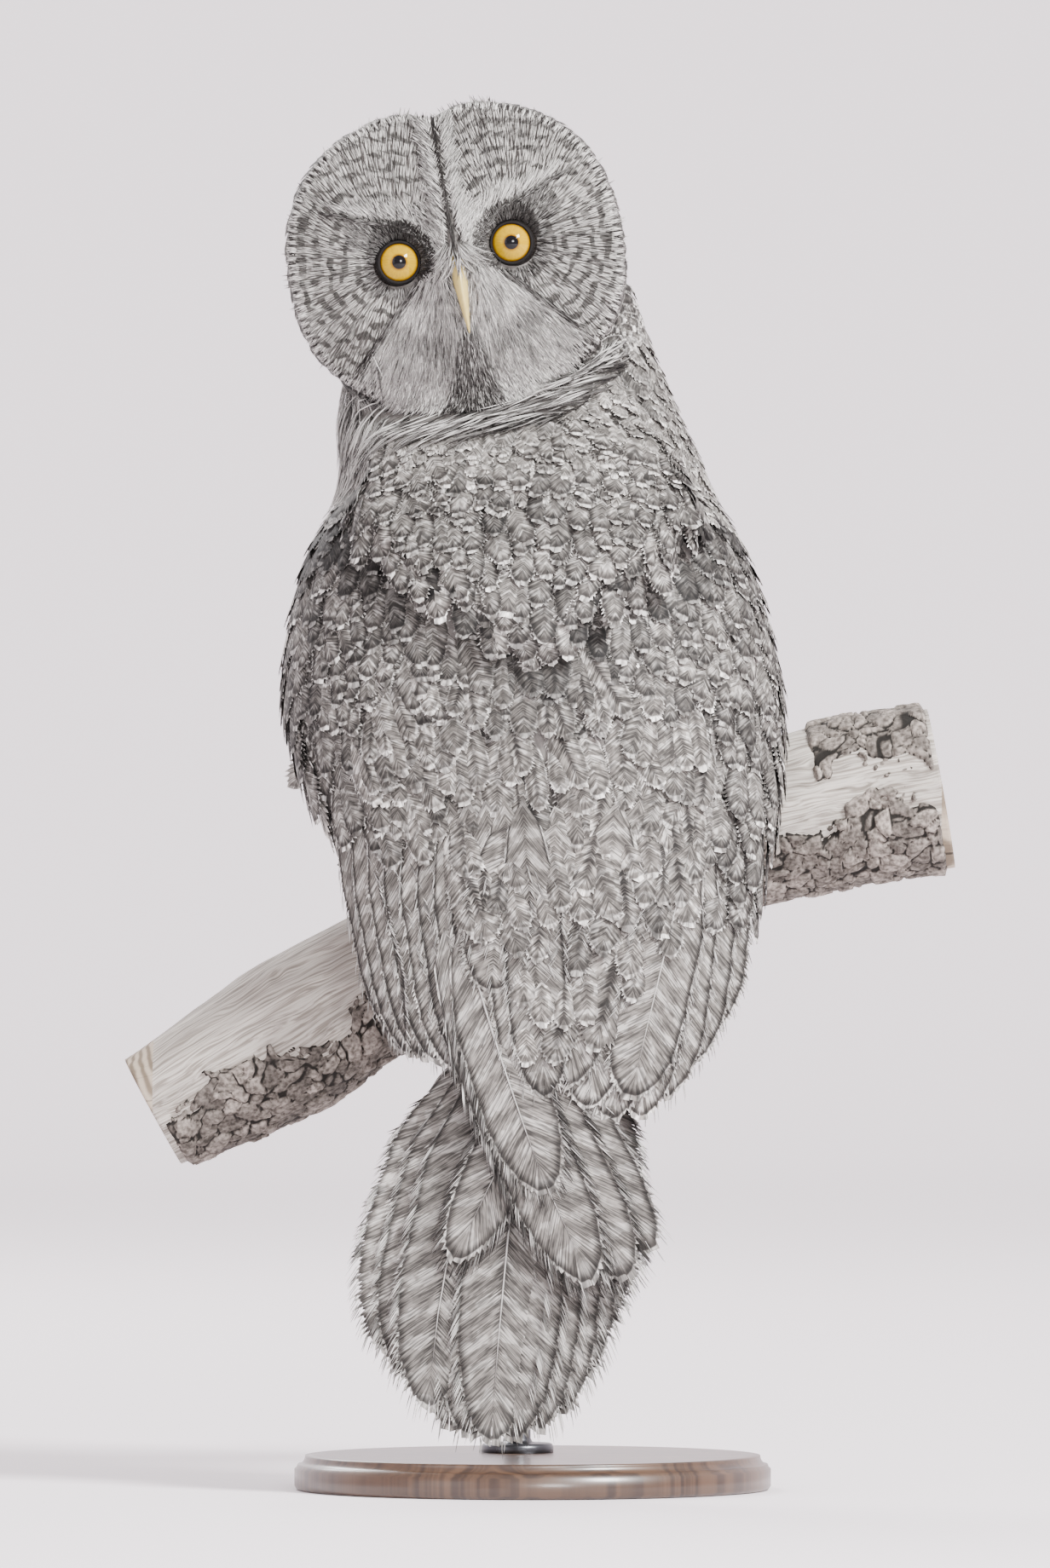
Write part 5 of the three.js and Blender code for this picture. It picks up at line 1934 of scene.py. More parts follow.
    def brows(self, tract: Tract) -> None:
        """Sets the pale brows, the dark lines and lores under them and the rings round the eyes."""
        brow, past, out = self.brow, self.past_lores, self.from_eye
        self.put(
            tract, 1.1,
            lambda x, z: within(np.abs(x), 5, 56) & within(z, brow(x) + 0.6, brow(x) + 11 - 0.15 * np.abs(x)),
            11, 0.8, away_from(5, -12), 0.68, scatter=0.28,
        )
        self.put(
            tract, 1.05, lambda x, z: within(np.abs(x), 2.5, 16) & within(z, -6, 26) & (past(x, z) > 2.0),
            6.5, 0.75, sloping(0.8, 1), 0.55, scatter=0.3,
        )
        self.put(
            tract, 0.85, lambda x, z: (past(x, z) < 0) & (self.lores(x, z)[1] > 0.2),
            4.2, 0.95, out, 0.02, scatter=0.04, lift=(1.6, 3.6),
        )
        self.put(
            tract, 0.95, lambda x, z: (past(x, z) > 0) & within(np.abs(x), 27, 52) & within(z, 10, brow(x)),
            6, 0.75, out, 0.14, scatter=0.12, lift=(1.0, 2.6),
        )
        self.put(
            tract, 0.8, lambda x, z: within(np.abs(x), 15, 61) & (np.abs(z - brow(x)) < 0.9),
            6, 0.75, sloping(1, 0.42), 0.04, spread=0.05, lift=(2.0, 3.4),
        )
        self.put(
            tract, 1.0, lambda x, z: (HEAD.from_eye(x, z) < 15.5 + 2.2 * (z < 0)) & (past(x, z) > 0),
            4.5, 0.7, out, 0.16, scatter=0.14, lift=(1.0, 2.4),
        )

    def crescents(self, tract: Tract) -> None:
        """Sets the pale crescents, with a grey bow across them, a few dark strands and a dark edge of painted shade
        beneath them.
        """
        down, rng = away_from(5, 14), tract.rng
        self.put(
            tract, 1.05, lambda x, z: self.crescent(x, z) & ~self.smudge(x, z),
            15, 0.8, down, 0.88, lift=(0.4, 3.6), stations=5,
        )
        self.put(
            tract, 1.05, lambda x, z: self.crescent(x, z) & self.smudge(x, z),
            13, 0.8, down, 0.42, scatter=0.2, lift=(0.4, 3.4), stations=5,
        )
        self.put(
            tract, 1.2, lambda x, z: self.crescent(x, z) & (rng.random(len(x)) < 0.25),
            16, 0.6, down, 0.25, lift=(0.6, 5.0),
        )
        # A dark line of strands along the crescents' outer edge, painted as the shade beneath them.
        self.put(
            tract, 0.9, lambda x, z: within(z, -46, -9) & (np.abs(np.abs(x) - 20 - 0.97 * (-8 - z)) < 1.5),
            8, 0.8, down, 0.06, spread=0.06, lift=(2.0, 3.6),
        )

    def midline(self, tract: Tract) -> None:
        """Sets the dark midline, the paler bristles beside it and those over the bill's base."""
        self.put(
            tract, 0.7, lambda x, z: (np.abs(x) < 0.55 + 0.3 * (z < 40)) & within(z, 0, 76),
            6, 0.75, sloping(0, 1), 0.02, scatter=0.02, spread=0.06, lift=(1.0, 2.4),
        )
        self.put(
            tract, 0.95, lambda x, z: within(np.abs(x), 0.7, 6) & within(z, 12, 76),
            9, 0.75, sloping(0.8, 1), 0.56, scatter=0.3, lift=(0.8, 3.6),
        )
        self.put(
            tract, 0.9, lambda x, z: within(np.abs(x), 2.8, 9.5) & within(z, -20, 3),
            12, 0.7, sloping(-0.22, -1), 0.6, scatter=0.3, lift=(2.0, 8.5),
        )
        self.put(
            tract, 0.8, lambda x, z: (np.abs(x) < 4.5) & within(z, 0, 9), 13, 0.7,
            on_face(lambda x, z: (0.12 * x, 0 * x, -np.ones_like(x))), 0.5, scatter=0.3, lift=(3.0, 15.0),
        )

    def beard(self, tract: Tract) -> None:
        """Sets the dark chin and the pale bristles beside it."""
        down = away_from(0, -14)
        self.put(tract, 0.9, self.chin, 9, 0.9, down, 0.1, scatter=0.08, lift=(1.6, 5.0))
        self.put(tract, 1.5, self.chin, 9, 0.75, down, 0.3, scatter=0.2, lift=(2.4, 5.5))

        def beside(x: Array, z: Array) -> Array:
            low = within(z, -80 + 0.3 * np.abs(x), -38) & (np.abs(x) < 48)
            return low & ~self.chin(x, z) & ~self.crescent(x, z)

        self.put(tract, 1.1, beside, 11, 0.9, away_from(0, 0), 0.78, scatter=0.25, lift=(0.4, 3.4))


def behind(hull: Hull, x: Array, z: Array, grow: Array | float = 0.0) -> Array:
    """Returns the outline's back surface at places seen from behind, in millimetres."""
    wide = (hull.right(z) + hull.left(z)) / 2 + grow
    deep = (hull.front(z) + hull.back(z)) / 2 + grow
    middle = (hull.right(z) - hull.left(z)) / 2
    share = np.clip((x - middle) / wide, -0.985, 0.985)
    x = middle + share * wide
    share = np.abs(share)
    y = (hull.front(z) - hull.back(z)) / 2 - deep * (1 - share**hull.SQUARENESS) ** (1 / hull.SQUARENESS)
    return np.stack([x, y, z], axis=-1)


def facing(hull: Hull, points: Array, grow: Array | float = 0.0) -> Array:
    """Returns which way the outline's back surface faces at places in millimetres."""
    x, z = points[..., 0], points[..., 2]
    across = behind(hull, x + 1, z, grow) - behind(hull, x - 1, z, grow)
    up = behind(hull, x, z + 2, grow) - behind(hull, x, z - 2, grow)
    return unit(np.cross(across, up))


@dataclass
class FlightFeathers:
    """The secondaries, tertials, primaries and tail."""

    quills: Tract
    stations: int = 14
    sweep: float = 0.2
    vane: Template = vane_template(46, 2, 0.72, 0.35, shaft=0.9, notch=0.9, hidden=0.12)
    tail_vane: Template = vane_template(64, 2, 0.62, 0.3, shaft=0.93, notch=0.86, hidden=0.1)
    strand: Template = strand_template(5)
    hair: Template = strand_template(3)
    tip_x: Curve = Curve([(0, -74), (0.25, -46), (0.5, -16), (0.75, 16), (1, 39)])
    tip_z: Curve = Curve([(0, 74), (0.25, 38), (0.5, 28), (0.75, 46), (1, 104)])
    left_tips: tuple[tuple, ...] = (
        ((-36, 296), (8, 158), 40, -104.6), ((-46, 296), (31, 111), 42, -102.8),
        ((-36, 296), (50, 113), 40, -101), ((-26, 296), (62, 127), 36, -99.2),
    )
    right_tips: tuple[tuple, ...] = (((34, 296), (-42, 122), 36, -96.6), ((46, 296), (-22, 144), 34, -94.9))
    # The primaries whose edges get dark barbs behind them, as painted shadow.
    shaded_tips: tuple[int, ...] = (0, 1, 2, 4, 5)
    tail_root: float = 236
    bar_spacing: float = 19.0

    def on_cloak(
        self, root: Sequence[float], tip: Sequence[float], lift: float
    ) -> tuple[Array, Array]:
        """Returns a path over the cloak between two places seen from behind, and the way it faces."""
        t = np.linspace(0, 1, self.stations)
        x = root[0] + (tip[0] - root[0]) * t
        z = root[1] + (tip[1] - root[1]) * t
        path = behind(CLOAK, x, z, lift)
        return path, facing(CLOAK, path, lift)

    def shafts(self, path: Array, normal: Array, radius: float) -> None:
        """Adds the raised shafts of some feathers, which end a little before their tips."""
        count, stations = path.shape[:2]
        last = round(stations * 0.93)
        raised = path[:, :last] + normal[:, :last] * (0.35 + radius * 0.4)
        width = np.full(count, 2 * radius)
        self.quills.lay(
            self.strand, raised, normal[:, :last], width, np.full(count, 0.72), thick=2 * radius, camber=0.0
        )

    def barbs(
        self, path: Array, normal: Array, width: Array, spacing: float, count: int, reach: float,
        shade: float = 0.5,
    ) -> None:
        """Adds loose barbs along the edges and at the tips of long feathers.

        Args:
            path: The feathers' paths in millimetres.
            normal: Which way they face.
            width: Their widths.
            spacing: The spacing of their bars, which the barbs' tones follow.
            count: Barbs on each edge.
            reach: How far the barbs run, as a part of the half width.
            shade: How pale they are on average.
        """
        rng = self.quills.rng
        stations = path.shape[1]
        tangent = unit(np.gradient(path, axis=1))
        across = unit(np.cross(tangent, normal))
        length = np.linalg.norm(np.diff(path, axis=1), axis=2).sum(axis=1)
        for feather in range(len(path)):
            way = np.sort(rng.uniform(0.12, 1.0, 2 * count))
            side = np.where(rng.random(2 * count) < 0.5, -1.0, 1.0)
            stem = 0.9 * way
            edge = 0.1 + 0.9 * way**0.92
            wide = outline(edge, 0.68, 0.33) * width[feather] / 2
            lanes = []
            for k, share in enumerate(np.linspace(0.8, 1.0, 4)):
                out = share * (reach + rng.normal(0, 0.035, 2 * count) * (k == 3))
                bent = stem + (edge - stem) * out + self.sweep * np.clip(out - 0.8, 0, 1) ** 1.3
                at = np.clip(bent, 0, 1.04) * (stations - 1)
                i = np.clip(at.astype(int), 0, stations - 2)
                part = (at - i)[:, None]
                middle = path[feather, i] * (1 - part) + path[feather, i + 1] * part
                aside = across[feather, i] * (side * wide * out)[:, None]
                lanes.append(middle + aside + normal[feather, i] * (0.25 + 0.5 * share))
            lane = np.stack(lanes, axis=1)
            facing_out = np.repeat(normal[feather, i][:, None], 4, axis=1)
            wave = np.sin(2 * math.pi * (way * length[feather] / spacing))
            tone = shade + min(shade, 0.3) * wave + rng.normal(0, 0.12, 2 * count)
            tone = np.clip(tone, 0, 1)
            self.quills.lay(
                self.hair, lane, facing_out, np.full(2 * count, 0.65), tone, thick=0.5, camber=0.0
            )

    def secondaries(self, tract: Tract) -> None:
        """Sets both wings' long feathers, the inner ones on top."""
        rows: list[tuple[Sequence[float], Sequence[float], float, float]] = []
        for i in range(-1, 10):
            rows.append(((-91 + 9.5 * i, 362), (-61 + 7.5 * i, 228 - 2.3 * i), -4.6 + 0.66 * i, 34))
        right_tips = ((90, 240), (80, 222), (68, 206), (55, 196), (40, 195), (27, 201), (16, 212))
        for i, tip in enumerate(right_tips):
            rows.append(((108 - 10.5 * i, 362), tip, -4.6 + 0.8 * i, 38))
        rows += [
            ((12, 350), (3, 240), 0.4, 42), ((-14, 350), (-22, 262), 0.8, 36),
            ((42, 356), (36, 252), 0.6, 40), ((82, 340), (50, 206), 1.2, 40),
        ]
        laid = [self.on_cloak(root, tip, lift) for root, tip, lift, _ in rows]
        path, normal = (np.stack([pair[k] for pair in laid]) for k in range(2))
        width = np.array([row[3] for row in rows], float)
        tone = np.clip(0.5 + tract.rng.normal(0, 0.06, len(rows)), 0, 1)
        tract.lay(self.vane, path, normal, width, tone, thick=0.5, camber=0.04, tooth=0.4, fray=0.16)
        self.shafts(path[-1:], normal[-1:], 0.55)
        self.barbs(path, normal, width, 12.0, 26, 1.08)

    def primaries(self, tract: Tract) -> None:
        """Sets the long wing tips that cross over the tail, with dark barbs behind some of them as painted shadow."""
        feathers = self.left_tips + self.right_tips
        t = np.linspace(0, 1, self.stations)
        paths = []
        for root, tip, _, y in feathers:
            x = root[0] + (tip[0] - root[0]) * t**1.15
            z = root[1] + (tip[1] - root[1]) * t
            paths.append(np.stack([x, np.full_like(t, y) - 1.5 * np.sin(math.pi * t), z], axis=-1))
        path = np.stack(paths)
        width = np.array([feather[2] for feather in feathers], float)
        normal = np.broadcast_to(np.array([0.0, -1.0, 0.0]), path.shape).copy()
        tone = np.full(len(width), 0.42)
        tract.lay(
            self.vane, path, normal, width, tone, thick=0.5, camber=0.08, tooth=0.3, fray=0.16, tilt=-0.04
        )
        self.shafts(path, normal, 0.7)
        self.barbs(path, normal, width, self.bar_spacing, 34, 1.1)
        # Dark barbs just behind these feathers' edges are painted shadow cast by them.
        shaded = list(self.shaded_tips)
        painted_shadow_paths = path[shaded] + np.array([0.0, 0.7, 0.0])
        self.barbs(painted_shadow_paths, normal[shaded], width[shaded], self.bar_spacing, 90, 1.15, 0.04)

    def tail(self, tract: Tract) -> None:
        """Sets the twelve tail feathers."""
        paths = []
        t = np.linspace(0, 1, self.stations)
        for i in range(12):
            share = i / 11
            depth = 1.7 if i == 2 else 1.25 * (2 * (abs(i - 5.5) - 0.5) + (share > 0.5))
            x0 = (2 * share - 1) * 22
            bend = 1.15 + 0.7 * abs(2 * share - 1)
            z = self.tail_root + (self.tip_z(share) - self.tail_root) * t
            x = x0 + (self.tip_x(share) - x0) * (1 - (1 - t) ** bend)
            paths.append(np.stack([x, -74 - 0.09 * (300 - z) + depth, z], axis=-1))
        path = np.stack(paths)
        normal = np.broadcast_to(unit(np.array([0.0, -1.0, 0.09])), path.shape).copy()
        width = np.full(12, 49.0)
        tone = np.clip(0.5 + tract.rng.normal(0, 0.04, 12), 0, 1)
        tract.lay(
            self.tail_vane, path, normal, width, tone, thick=0.6, camber=0.1, tooth=0.4, fray=0.3, tilt=0.05
        )
        shown = [i for i in range(12) if i != 6]
        self.shafts(path[shown], normal[shown], 0.75)
        self.barbs(path, normal, width, self.bar_spacing, 90, 1.07)


# Eyes, bill and claws


def lathe(
    profile: Sequence[Sequence[float]], segments: int, axis: Vector = Vector((0, 0, 1)), weld: float = 1e-7
) -> bmesh.types.BMesh:
    """Spins a profile of (radius, height) pairs into a round surface.

    Args:
        profile: The pairs, in metres.
        segments: Faces round it.
        axis: Where its upper end points.
        weld: Points nearer than this become one.

    Returns:
        The surface.
    """
    bm = bmesh.new()
    verts = [bm.verts.new((radius, 0, height)) for radius, height in profile]
    edges = [bm.edges.new(pair) for pair in zip(verts, verts[1:])]
    bmesh.ops.spin(
        bm, geom=verts + edges, cent=(0, 0, 0), axis=(0, 0, 1), angle=2 * math.pi, steps=segments,
        use_merge=True,
    )
    bmesh.ops.remove_doubles(bm, verts=bm.verts[:], dist=weld)
    bmesh.ops.recalc_face_normals(bm, faces=bm.faces[:])
    turn = Vector((0, 0, 1)).rotation_difference(axis).to_matrix()
    bmesh.ops.rotate(bm, cent=(0, 0, 0), matrix=turn, verts=bm.verts[:])
    return bm


def to_head(bm: bmesh.types.BMesh, local: Sequence[float]) -> bmesh.types.BMesh:
    """Moves a bmesh in metres from the origin to a place of the head's frame, given in millimetres."""
    matrix = Matrix(HEAD.turned.tolist())
    bmesh.ops.rotate(bm, cent=(0, 0, 0), matrix=matrix, verts=bm.verts[:])
    place = HEAD.world(np.array([local], float))[0]
    bmesh.ops.translate(bm, vec=Vector(place), verts=bm.verts[:])
    return bm


@dataclass
class Eye:
    """One eye: the ball with its iris and pupil, and the lids' rim."""

    side: Side
    ball: float = 14
    lid_plane: float = -54
    opening: float = 9.85
    height: float = 2
    lid_tube: float = 0.8

    @property
    def centre(self) -> tuple[float, float, float]:
        """The ball's middle in the head's frame."""
        depth = self.lid_plane + math.sqrt(self.ball**2 - self.opening**2)
        return (self.side.value * HEAD.eye_apart / 2, depth, self.height)

    def build_ball(self, material: bpy.types.Material) -> bpy.types.Object:
        """Makes the eyeball, with each point's place on the iris in an attribute."""
        rows = 64
        profile = []
        for k in range(rows + 1):
            polar = math.pi * (k / rows) ** 1.15
            bulge = 0.9 * math.exp(-((math.sin(polar) / 0.45) ** 2)) * (math.cos(polar) > 0)
            radius = (self.ball + bulge) * MM
            profile.append((max(radius * math.sin(polar), 0.0), radius * math.cos(polar)))
        profile[0] = (0.0, profile[0][1])
        profile[-1] = (0.0, profile[-1][1])
        bm = lathe(profile, 96, Vector((0, -1, 0)))
        flat = np.array([(v.co.x, v.co.z, v.co.y) for v in bm.verts]) / MM
        to_head(bm, self.centre)
        name = f"eye_{self.side.name.lower()}"
        piece = from_bmesh(f"{name}_ball", bm, material, "iris")
        mark_points(piece.data, "iris", flat)
        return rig.replaces(piece, name)

    def build_lids(self, material: bpy.types.Material) -> bpy.types.Object:
        """Makes the dark rim of the lids round the iris and the slope down to the face."""
        tube = self.lid_tube
        profile = []
        for k in range(13):
            turn = math.pi * (1.15 - 1.3 * k / 12)
            profile.append((self.opening + tube + tube * math.cos(turn), 1.1 * tube * math.sin(turn)))
        profile += [(self.opening + 2.2, -2.6), (self.opening + 2.8, -7.5), (self.opening - 0.5, -7.5)]
        profile.append(profile[0])
        bm = lathe([(r * MM, h * MM) for r, h in profile], 72, Vector((0, -1, 0)))
        to_head(bm, (self.centre[0], self.lid_plane - 0.2, self.height))
        return from_bmesh(f"lids_{self.side.name.lower()}", bm, material, "face")


@dataclass
class Bill:
    """Both halves of the bill, with nostrils, in the head's frame."""

    upper_width: float = 12.5
    upper_depth: float = 25
    upper_line: tuple[tuple[float, float], ...] = ((-52, -5), (-64, -9), (-70.5, -23), (-71, -41))
    lower_width: float = 9.5
    lower_depth: float = 10
    lower_line: tuple[tuple[float, float], ...] = ((-52, -21), (-60.5, -27), (-66.5, -34))
    nostril: tuple[float, float, float] = (5.2, -68.6, -11.5)

    @staticmethod
    def hook(
        line: Sequence[tuple[float, float]], width: float, depth: float, fullness: float, keel: float
    ) -> Surface:
        """Returns the ring function of a curved, tapering half of the bill."""
        at = np.linspace(0, 1, len(line))
        y, z = Curve([(a, p[0]) for a, p in zip(at, line)]), Curve([(a, p[1]) for a, p in zip(at, line)])

        def ring(angle: Array, share: Array) -> Array:
            near, far = share - 0.01, share + 0.01
            ahead = unit(np.stack([0 * share, y(far) - y(near), z(far) - z(near)], axis=-1))
            over = np.stack([0 * share, -ahead[:, 2], ahead[:, 1]], axis=-1)
            taper = np.maximum(1 - share, 0) ** fullness / 2
            sharp = np.abs(np.cos(angle)) ** keel * np.sign(np.cos(angle))
            middle = np.stack([0 * share, y(share), z(share)], axis=-1)
            point = middle + over * ((depth * taper + 0.25) * np.sin(angle))[:, None]
            point[:, 0] += (width * taper + 0.25) * sharp
            return HEAD.world(point)

        return ring

    def build(self, horn: bpy.types.Material, dark: bpy.types.Material) -> None:
        """Makes the pieces."""
        upper = capped(self.hook(self.upper_line, self.upper_width, self.upper_depth, 0.85, 1.15), 48, 60)
        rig.replaces(from_bmesh("bill_upper_horn", upper, horn, "horn"), "bill_upper")
        lower = capped(self.hook(self.lower_line, self.lower_width, self.lower_depth, 0.6, 1.0), 36, 40)
        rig.replaces(from_bmesh("bill_lower_horn", lower, horn, "horn"), "bill_lower")
        for side in Side:
            bm = bmesh.new()
            bmesh.ops.create_uvsphere(bm, u_segments=20, v_segments=12, radius=1)
            bmesh.ops.scale(bm, vec=Vector((0.9, 0.9, 1.7)) * MM, verts=bm.verts[:])
            x, y, z = self.nostril
            to_head(bm, (side.value * x, y, z))
            from_bmesh(f"nostril_{side.name.lower()}", bm, dark, "claw")


def claws(material: bpy.types.Material) -> None:
    """Makes the eight curved claws."""
    for side in Side:
        for number, (along, sweep, size) in enumerate(TOES, 1):
            bm = capped(FootForm(side).claw(along, sweep, size), 20, 36)
            name = f"claw_{side.name.lower()}_{number}"
            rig.replaces(from_bmesh(f"{name}_horn", bm, material, "claw"), name)


# The branch and the stand


def value_noise(points: Array, scale: float, octaves: int = 3, seed: float = 0.0) -> Array:
    """Returns smooth noise from about -1 to 1 at places in millimetres."""
    total = np.zeros(len(points))
    for octave in range(octaves):
        at = points / scale * 2**octave + seed + 17.3 * octave
        total += np.array([noise.noise(Vector(p)) for p in at]) * 0.6**octave
    return total


@dataclass
class Branch:
    """The cut branch: bare wood with knots and grain, under two sheets of broken bark."""

    columns: int = 300
    round_columns: int = 110
    plate: float = 8.0
    knots: tuple[tuple[float, float, float], ...] = (
        (-158, 262, 11), (-118, 318, 7), (150, 300, 9), (182, 322, 6),
    )
    bark_low: tuple[float, float] = (-198, 212)
    bark_high: tuple[float, float] = (150, 214)

    def knot_share(self, x: Array, angle: Array) -> Array:
        """Returns how near each place is to a knot's middle, 1 being on it."""
        share = np.zeros_like(x)
        for at, turn, size in self.knots:
            gap = (angle - math.radians(turn) + math.pi) % (2 * math.pi) - math.pi
            share = np.maximum(share, np.exp(-((x - at) ** 2 + (gap * 36) ** 2) / size**2))
        return share

    def wood(self, angle: Array, share: Array) -> Array:
        """Returns points of the bare wood, in metres."""
        x = BRANCH.left + share * (BRANCH.right - BRANCH.left)
        radius = BRANCH.radius(x) + BRANCH.lump(x, angle)
        flow = np.stack([x * 0.35, radius * np.cos(angle) * 1.3, radius * np.sin(angle) * 1.3], axis=-1)
        radius = radius + 0.9 * value_noise(flow, 30, 2) + 0.35 * value_noise(flow, 6, 2, 5.0)
        near = self.knot_share(x, angle)
        radius = radius + 2.4 * near - 2.6 * near**4
        return BRANCH.beside(x, angle, radius) * MM

    def build_wood(self, material: bpy.types.Material) -> bpy.types.Object:
        """Makes the bare wood, with grain coordinates in an attribute."""
        bm = capped(self.wood, self.round_columns, self.columns, 6)
        places = np.array([v.co for v in bm.verts]) / MM
        x = places[:, 0]
        middle_y = BRANCH.y + BRANCH.sway * np.sin(x / 70)
        angle = np.arctan2(places[:, 1] - middle_y, places[:, 2] - BRANCH.line(x))
        gap = np.hypot(places[:, 1] - middle_y, places[:, 2] - BRANCH.line(x))
        piece = from_bmesh("branch_wood", bm, material, "bare_wood")
        mark_points(piece.data, "grain", np.stack([x, angle, gap], axis=-1))
        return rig.replaces(piece, "perch")

    def bark(
        self, name: str, span: tuple[float, float], first: Field, last: Field, size: tuple[int, int],
        material: bpy.types.Material, node: str,
    ) -> bpy.types.Object:
        """Makes a sheet of bark in plates with cracks between them.

        Args:
            name: The piece's name.
            span: Where it starts and ends along the branch, in millimetres.
            first: Its first angle at each place along, in radians.
            last: Its last angle.
            size: Faces along and round.
            material: Its finish.
            node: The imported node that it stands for.

        Returns:
            The piece.
        """

        def at(u: Array, v: Array) -> tuple[Array, Array]:
            x = span[0] + (span[1] - span[0]) * u
            margin = 0.22
            return x, first(x) - margin + (last(x) - first(x) + 2 * margin) * v

        shade: list[tuple[float, float, float]] = []

        def top(u: Array, v: Array) -> Array:
            x, angle = at(u, v)
            radius = BRANCH.radius(x) + BRANCH.lump(x, angle)
            flat = np.stack([x * 0.8, angle * 37, 0 * x], axis=-1)
            bends = [value_noise(flat, 14, 2, 3.0), value_noise(flat, 14, 2, 9.0), 0 * x]
            warped = (flat + np.stack(bends, axis=-1) * 3.6) / self.plate
            cells = [noise.voronoi(Vector(p), distance_metric="DISTANCE") for p in warped]
            f1 = np.array([cell[0][0] for cell in cells])
            f2 = np.array([cell[0][1] for cell in cells])
            seeds = np.array([cell[1][0][:2] for cell in cells]) * self.plate
            cell_x, cell_angle = seeds[:, 0] / 0.8, seeds[:, 1] / 37
            inside = np.minimum(cell_angle - first(cell_x), last(cell_x) - cell_angle) * 37
            inside = np.minimum(inside, np.minimum(cell_x - span[0], span[1] - cell_x) + 6)
            edge = np.minimum(np.minimum(u, 1 - u) * (span[1] - span[0]) / 2.5, np.minimum(v, 1 - v) * 60)
            sheet = steps(inside + 3 * value_noise(flat, 4, 2, 1.0), -1.5, 0.5) * np.clip(edge, 0, 1)
            crack = steps(f2 - f1, 0.0, 0.16)
            draw = np.sin(seeds[:, 0] * 5.1 + seeds[:, 1] * 3.7)
            height = 1.2 + 1.6 * crack + 0.9 * draw * crack
            height = height + 0.5 * value_noise(flat, 4.5, 2, 2.0) + 0.2 * value_noise(flat, 1.6, 1, 4.0)
            shade[:] = list(zip(crack * sheet, draw, sheet))
            return BRANCH.beside(x, angle, radius - 2.2 + (height + 2.2) * sheet) * MM

        def bottom(u: Array, v: Array) -> Array:
            x, angle = at(u, v)
            return BRANCH.beside(x, angle, BRANCH.radius(x) - 6) * MM

        bm = slab(top, bottom, *size, coarser=4, weld=0.0)
        count = len(bm.verts)
        piece = from_bmesh(name, bm, material, "bark")
        mark_points(piece.data, "plate", np.pad(np.array(shade), ((0, count - len(shade)), (0, 0))))
        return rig.replaces(piece, node)

    def build_bark(self, material: bpy.types.Material) -> None:
        """Makes the bark under the branch and the sheet on its right end's top."""

        def jag(x: Array, k: float, size: float) -> Array:
            i = np.asarray(x, float) / 26 + 7
            return np.radians(size * np.sin(1.9 * i + k) + 0.6 * size * np.sin(4.3 * i + 2 * k))

        self.bark(
            "bark_under", self.bark_low, lambda x: math.radians(126) + jag(x, 1, 11),
            lambda x: math.radians(262) + jag(x, 0, 11), (330, 96), material, "bark_lower",
        )
        self.bark(
            "bark_over", self.bark_high, lambda x: np.radians(-58 - (x - 158) * 0.3) + jag(x, 0, 8),
            lambda x: np.radians(30 + (x - 158) * 0.4) + jag(x, 3, 8), (64, 72), material, "bark_upper",
        )


@dataclass
class Stand:
    """The round wooden base, the steel rod and its flange."""

    radius: float = 125
    thickness: float = 18
    rod_x: float = -8
    rod_y: float = 34
    rod_radius: float = 7
    flange_radius: float = 19
    flange_height: float = 5
    rod_top: float = 261

    def build(self, wood: bpy.types.Material, metal: bpy.types.Material) -> None:
        """Makes the pieces."""
        r, h = self.radius, self.thickness
        profile = [(0, 0), (r - 3, 0), (r - 1, 0.6), (r, 2.2), (r, h - 7)]
        profile += [(r - 1.2, h - 6), (r - 1.6, h - 4.6)]
        for k in range(1, 9):
            turn = k * math.pi / 16
            profile.append((r - 1.6 - 4 * math.sin(turn), h - 4.6 + 4.6 * (1 - math.cos(turn))))
        profile += [(r * k / 10, h) for k in range(9, 0, -1)] + [(0, h)]
        base = lathe([(a * MM, b * MM) for a, b in profile], 160)
        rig.replaces(from_bmesh("base_disc", base, wood, "stand_wood"), "stand_base")
        f, fh, rr = self.flange_radius, self.flange_height, self.rod_radius
        profile = [(0, h - 2), (f, h - 2), (f, h + fh - 2), (f - 0.6, h + fh - 0.6), (f - 2, h + fh)]
        profile += [(rr + 3, h + fh), (rr + 1, h + fh + 0.6), (rr, h + fh + 2.4)]
        profile += [(rr, self.rod_top), (0, self.rod_top)]
        rod = lathe([(a * MM, b * MM) for a, b in profile], 72)
        bmesh.ops.translate(rod, vec=Vector((self.rod_x, self.rod_y, 0)) * MM, verts=rod.verts[:])
        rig.replaces(from_bmesh("rod", rod, metal, "stand_metal"), "stand_rod")


# Finishes of the hard parts


def skin_material() -> bpy.types.Material:
    """Returns the finish of the skin between the feathers: dull grey down."""
    w = new_material("down")
    tuft = w.noise(w.place(), 320.0, 4.0)
    colour = w.mix(tuft, (0.07, 0.064, 0.059, 1), (0.2, 0.188, 0.175, 1))
    return w.finish(colour, tuft, 0.6, Roughness=0.9)


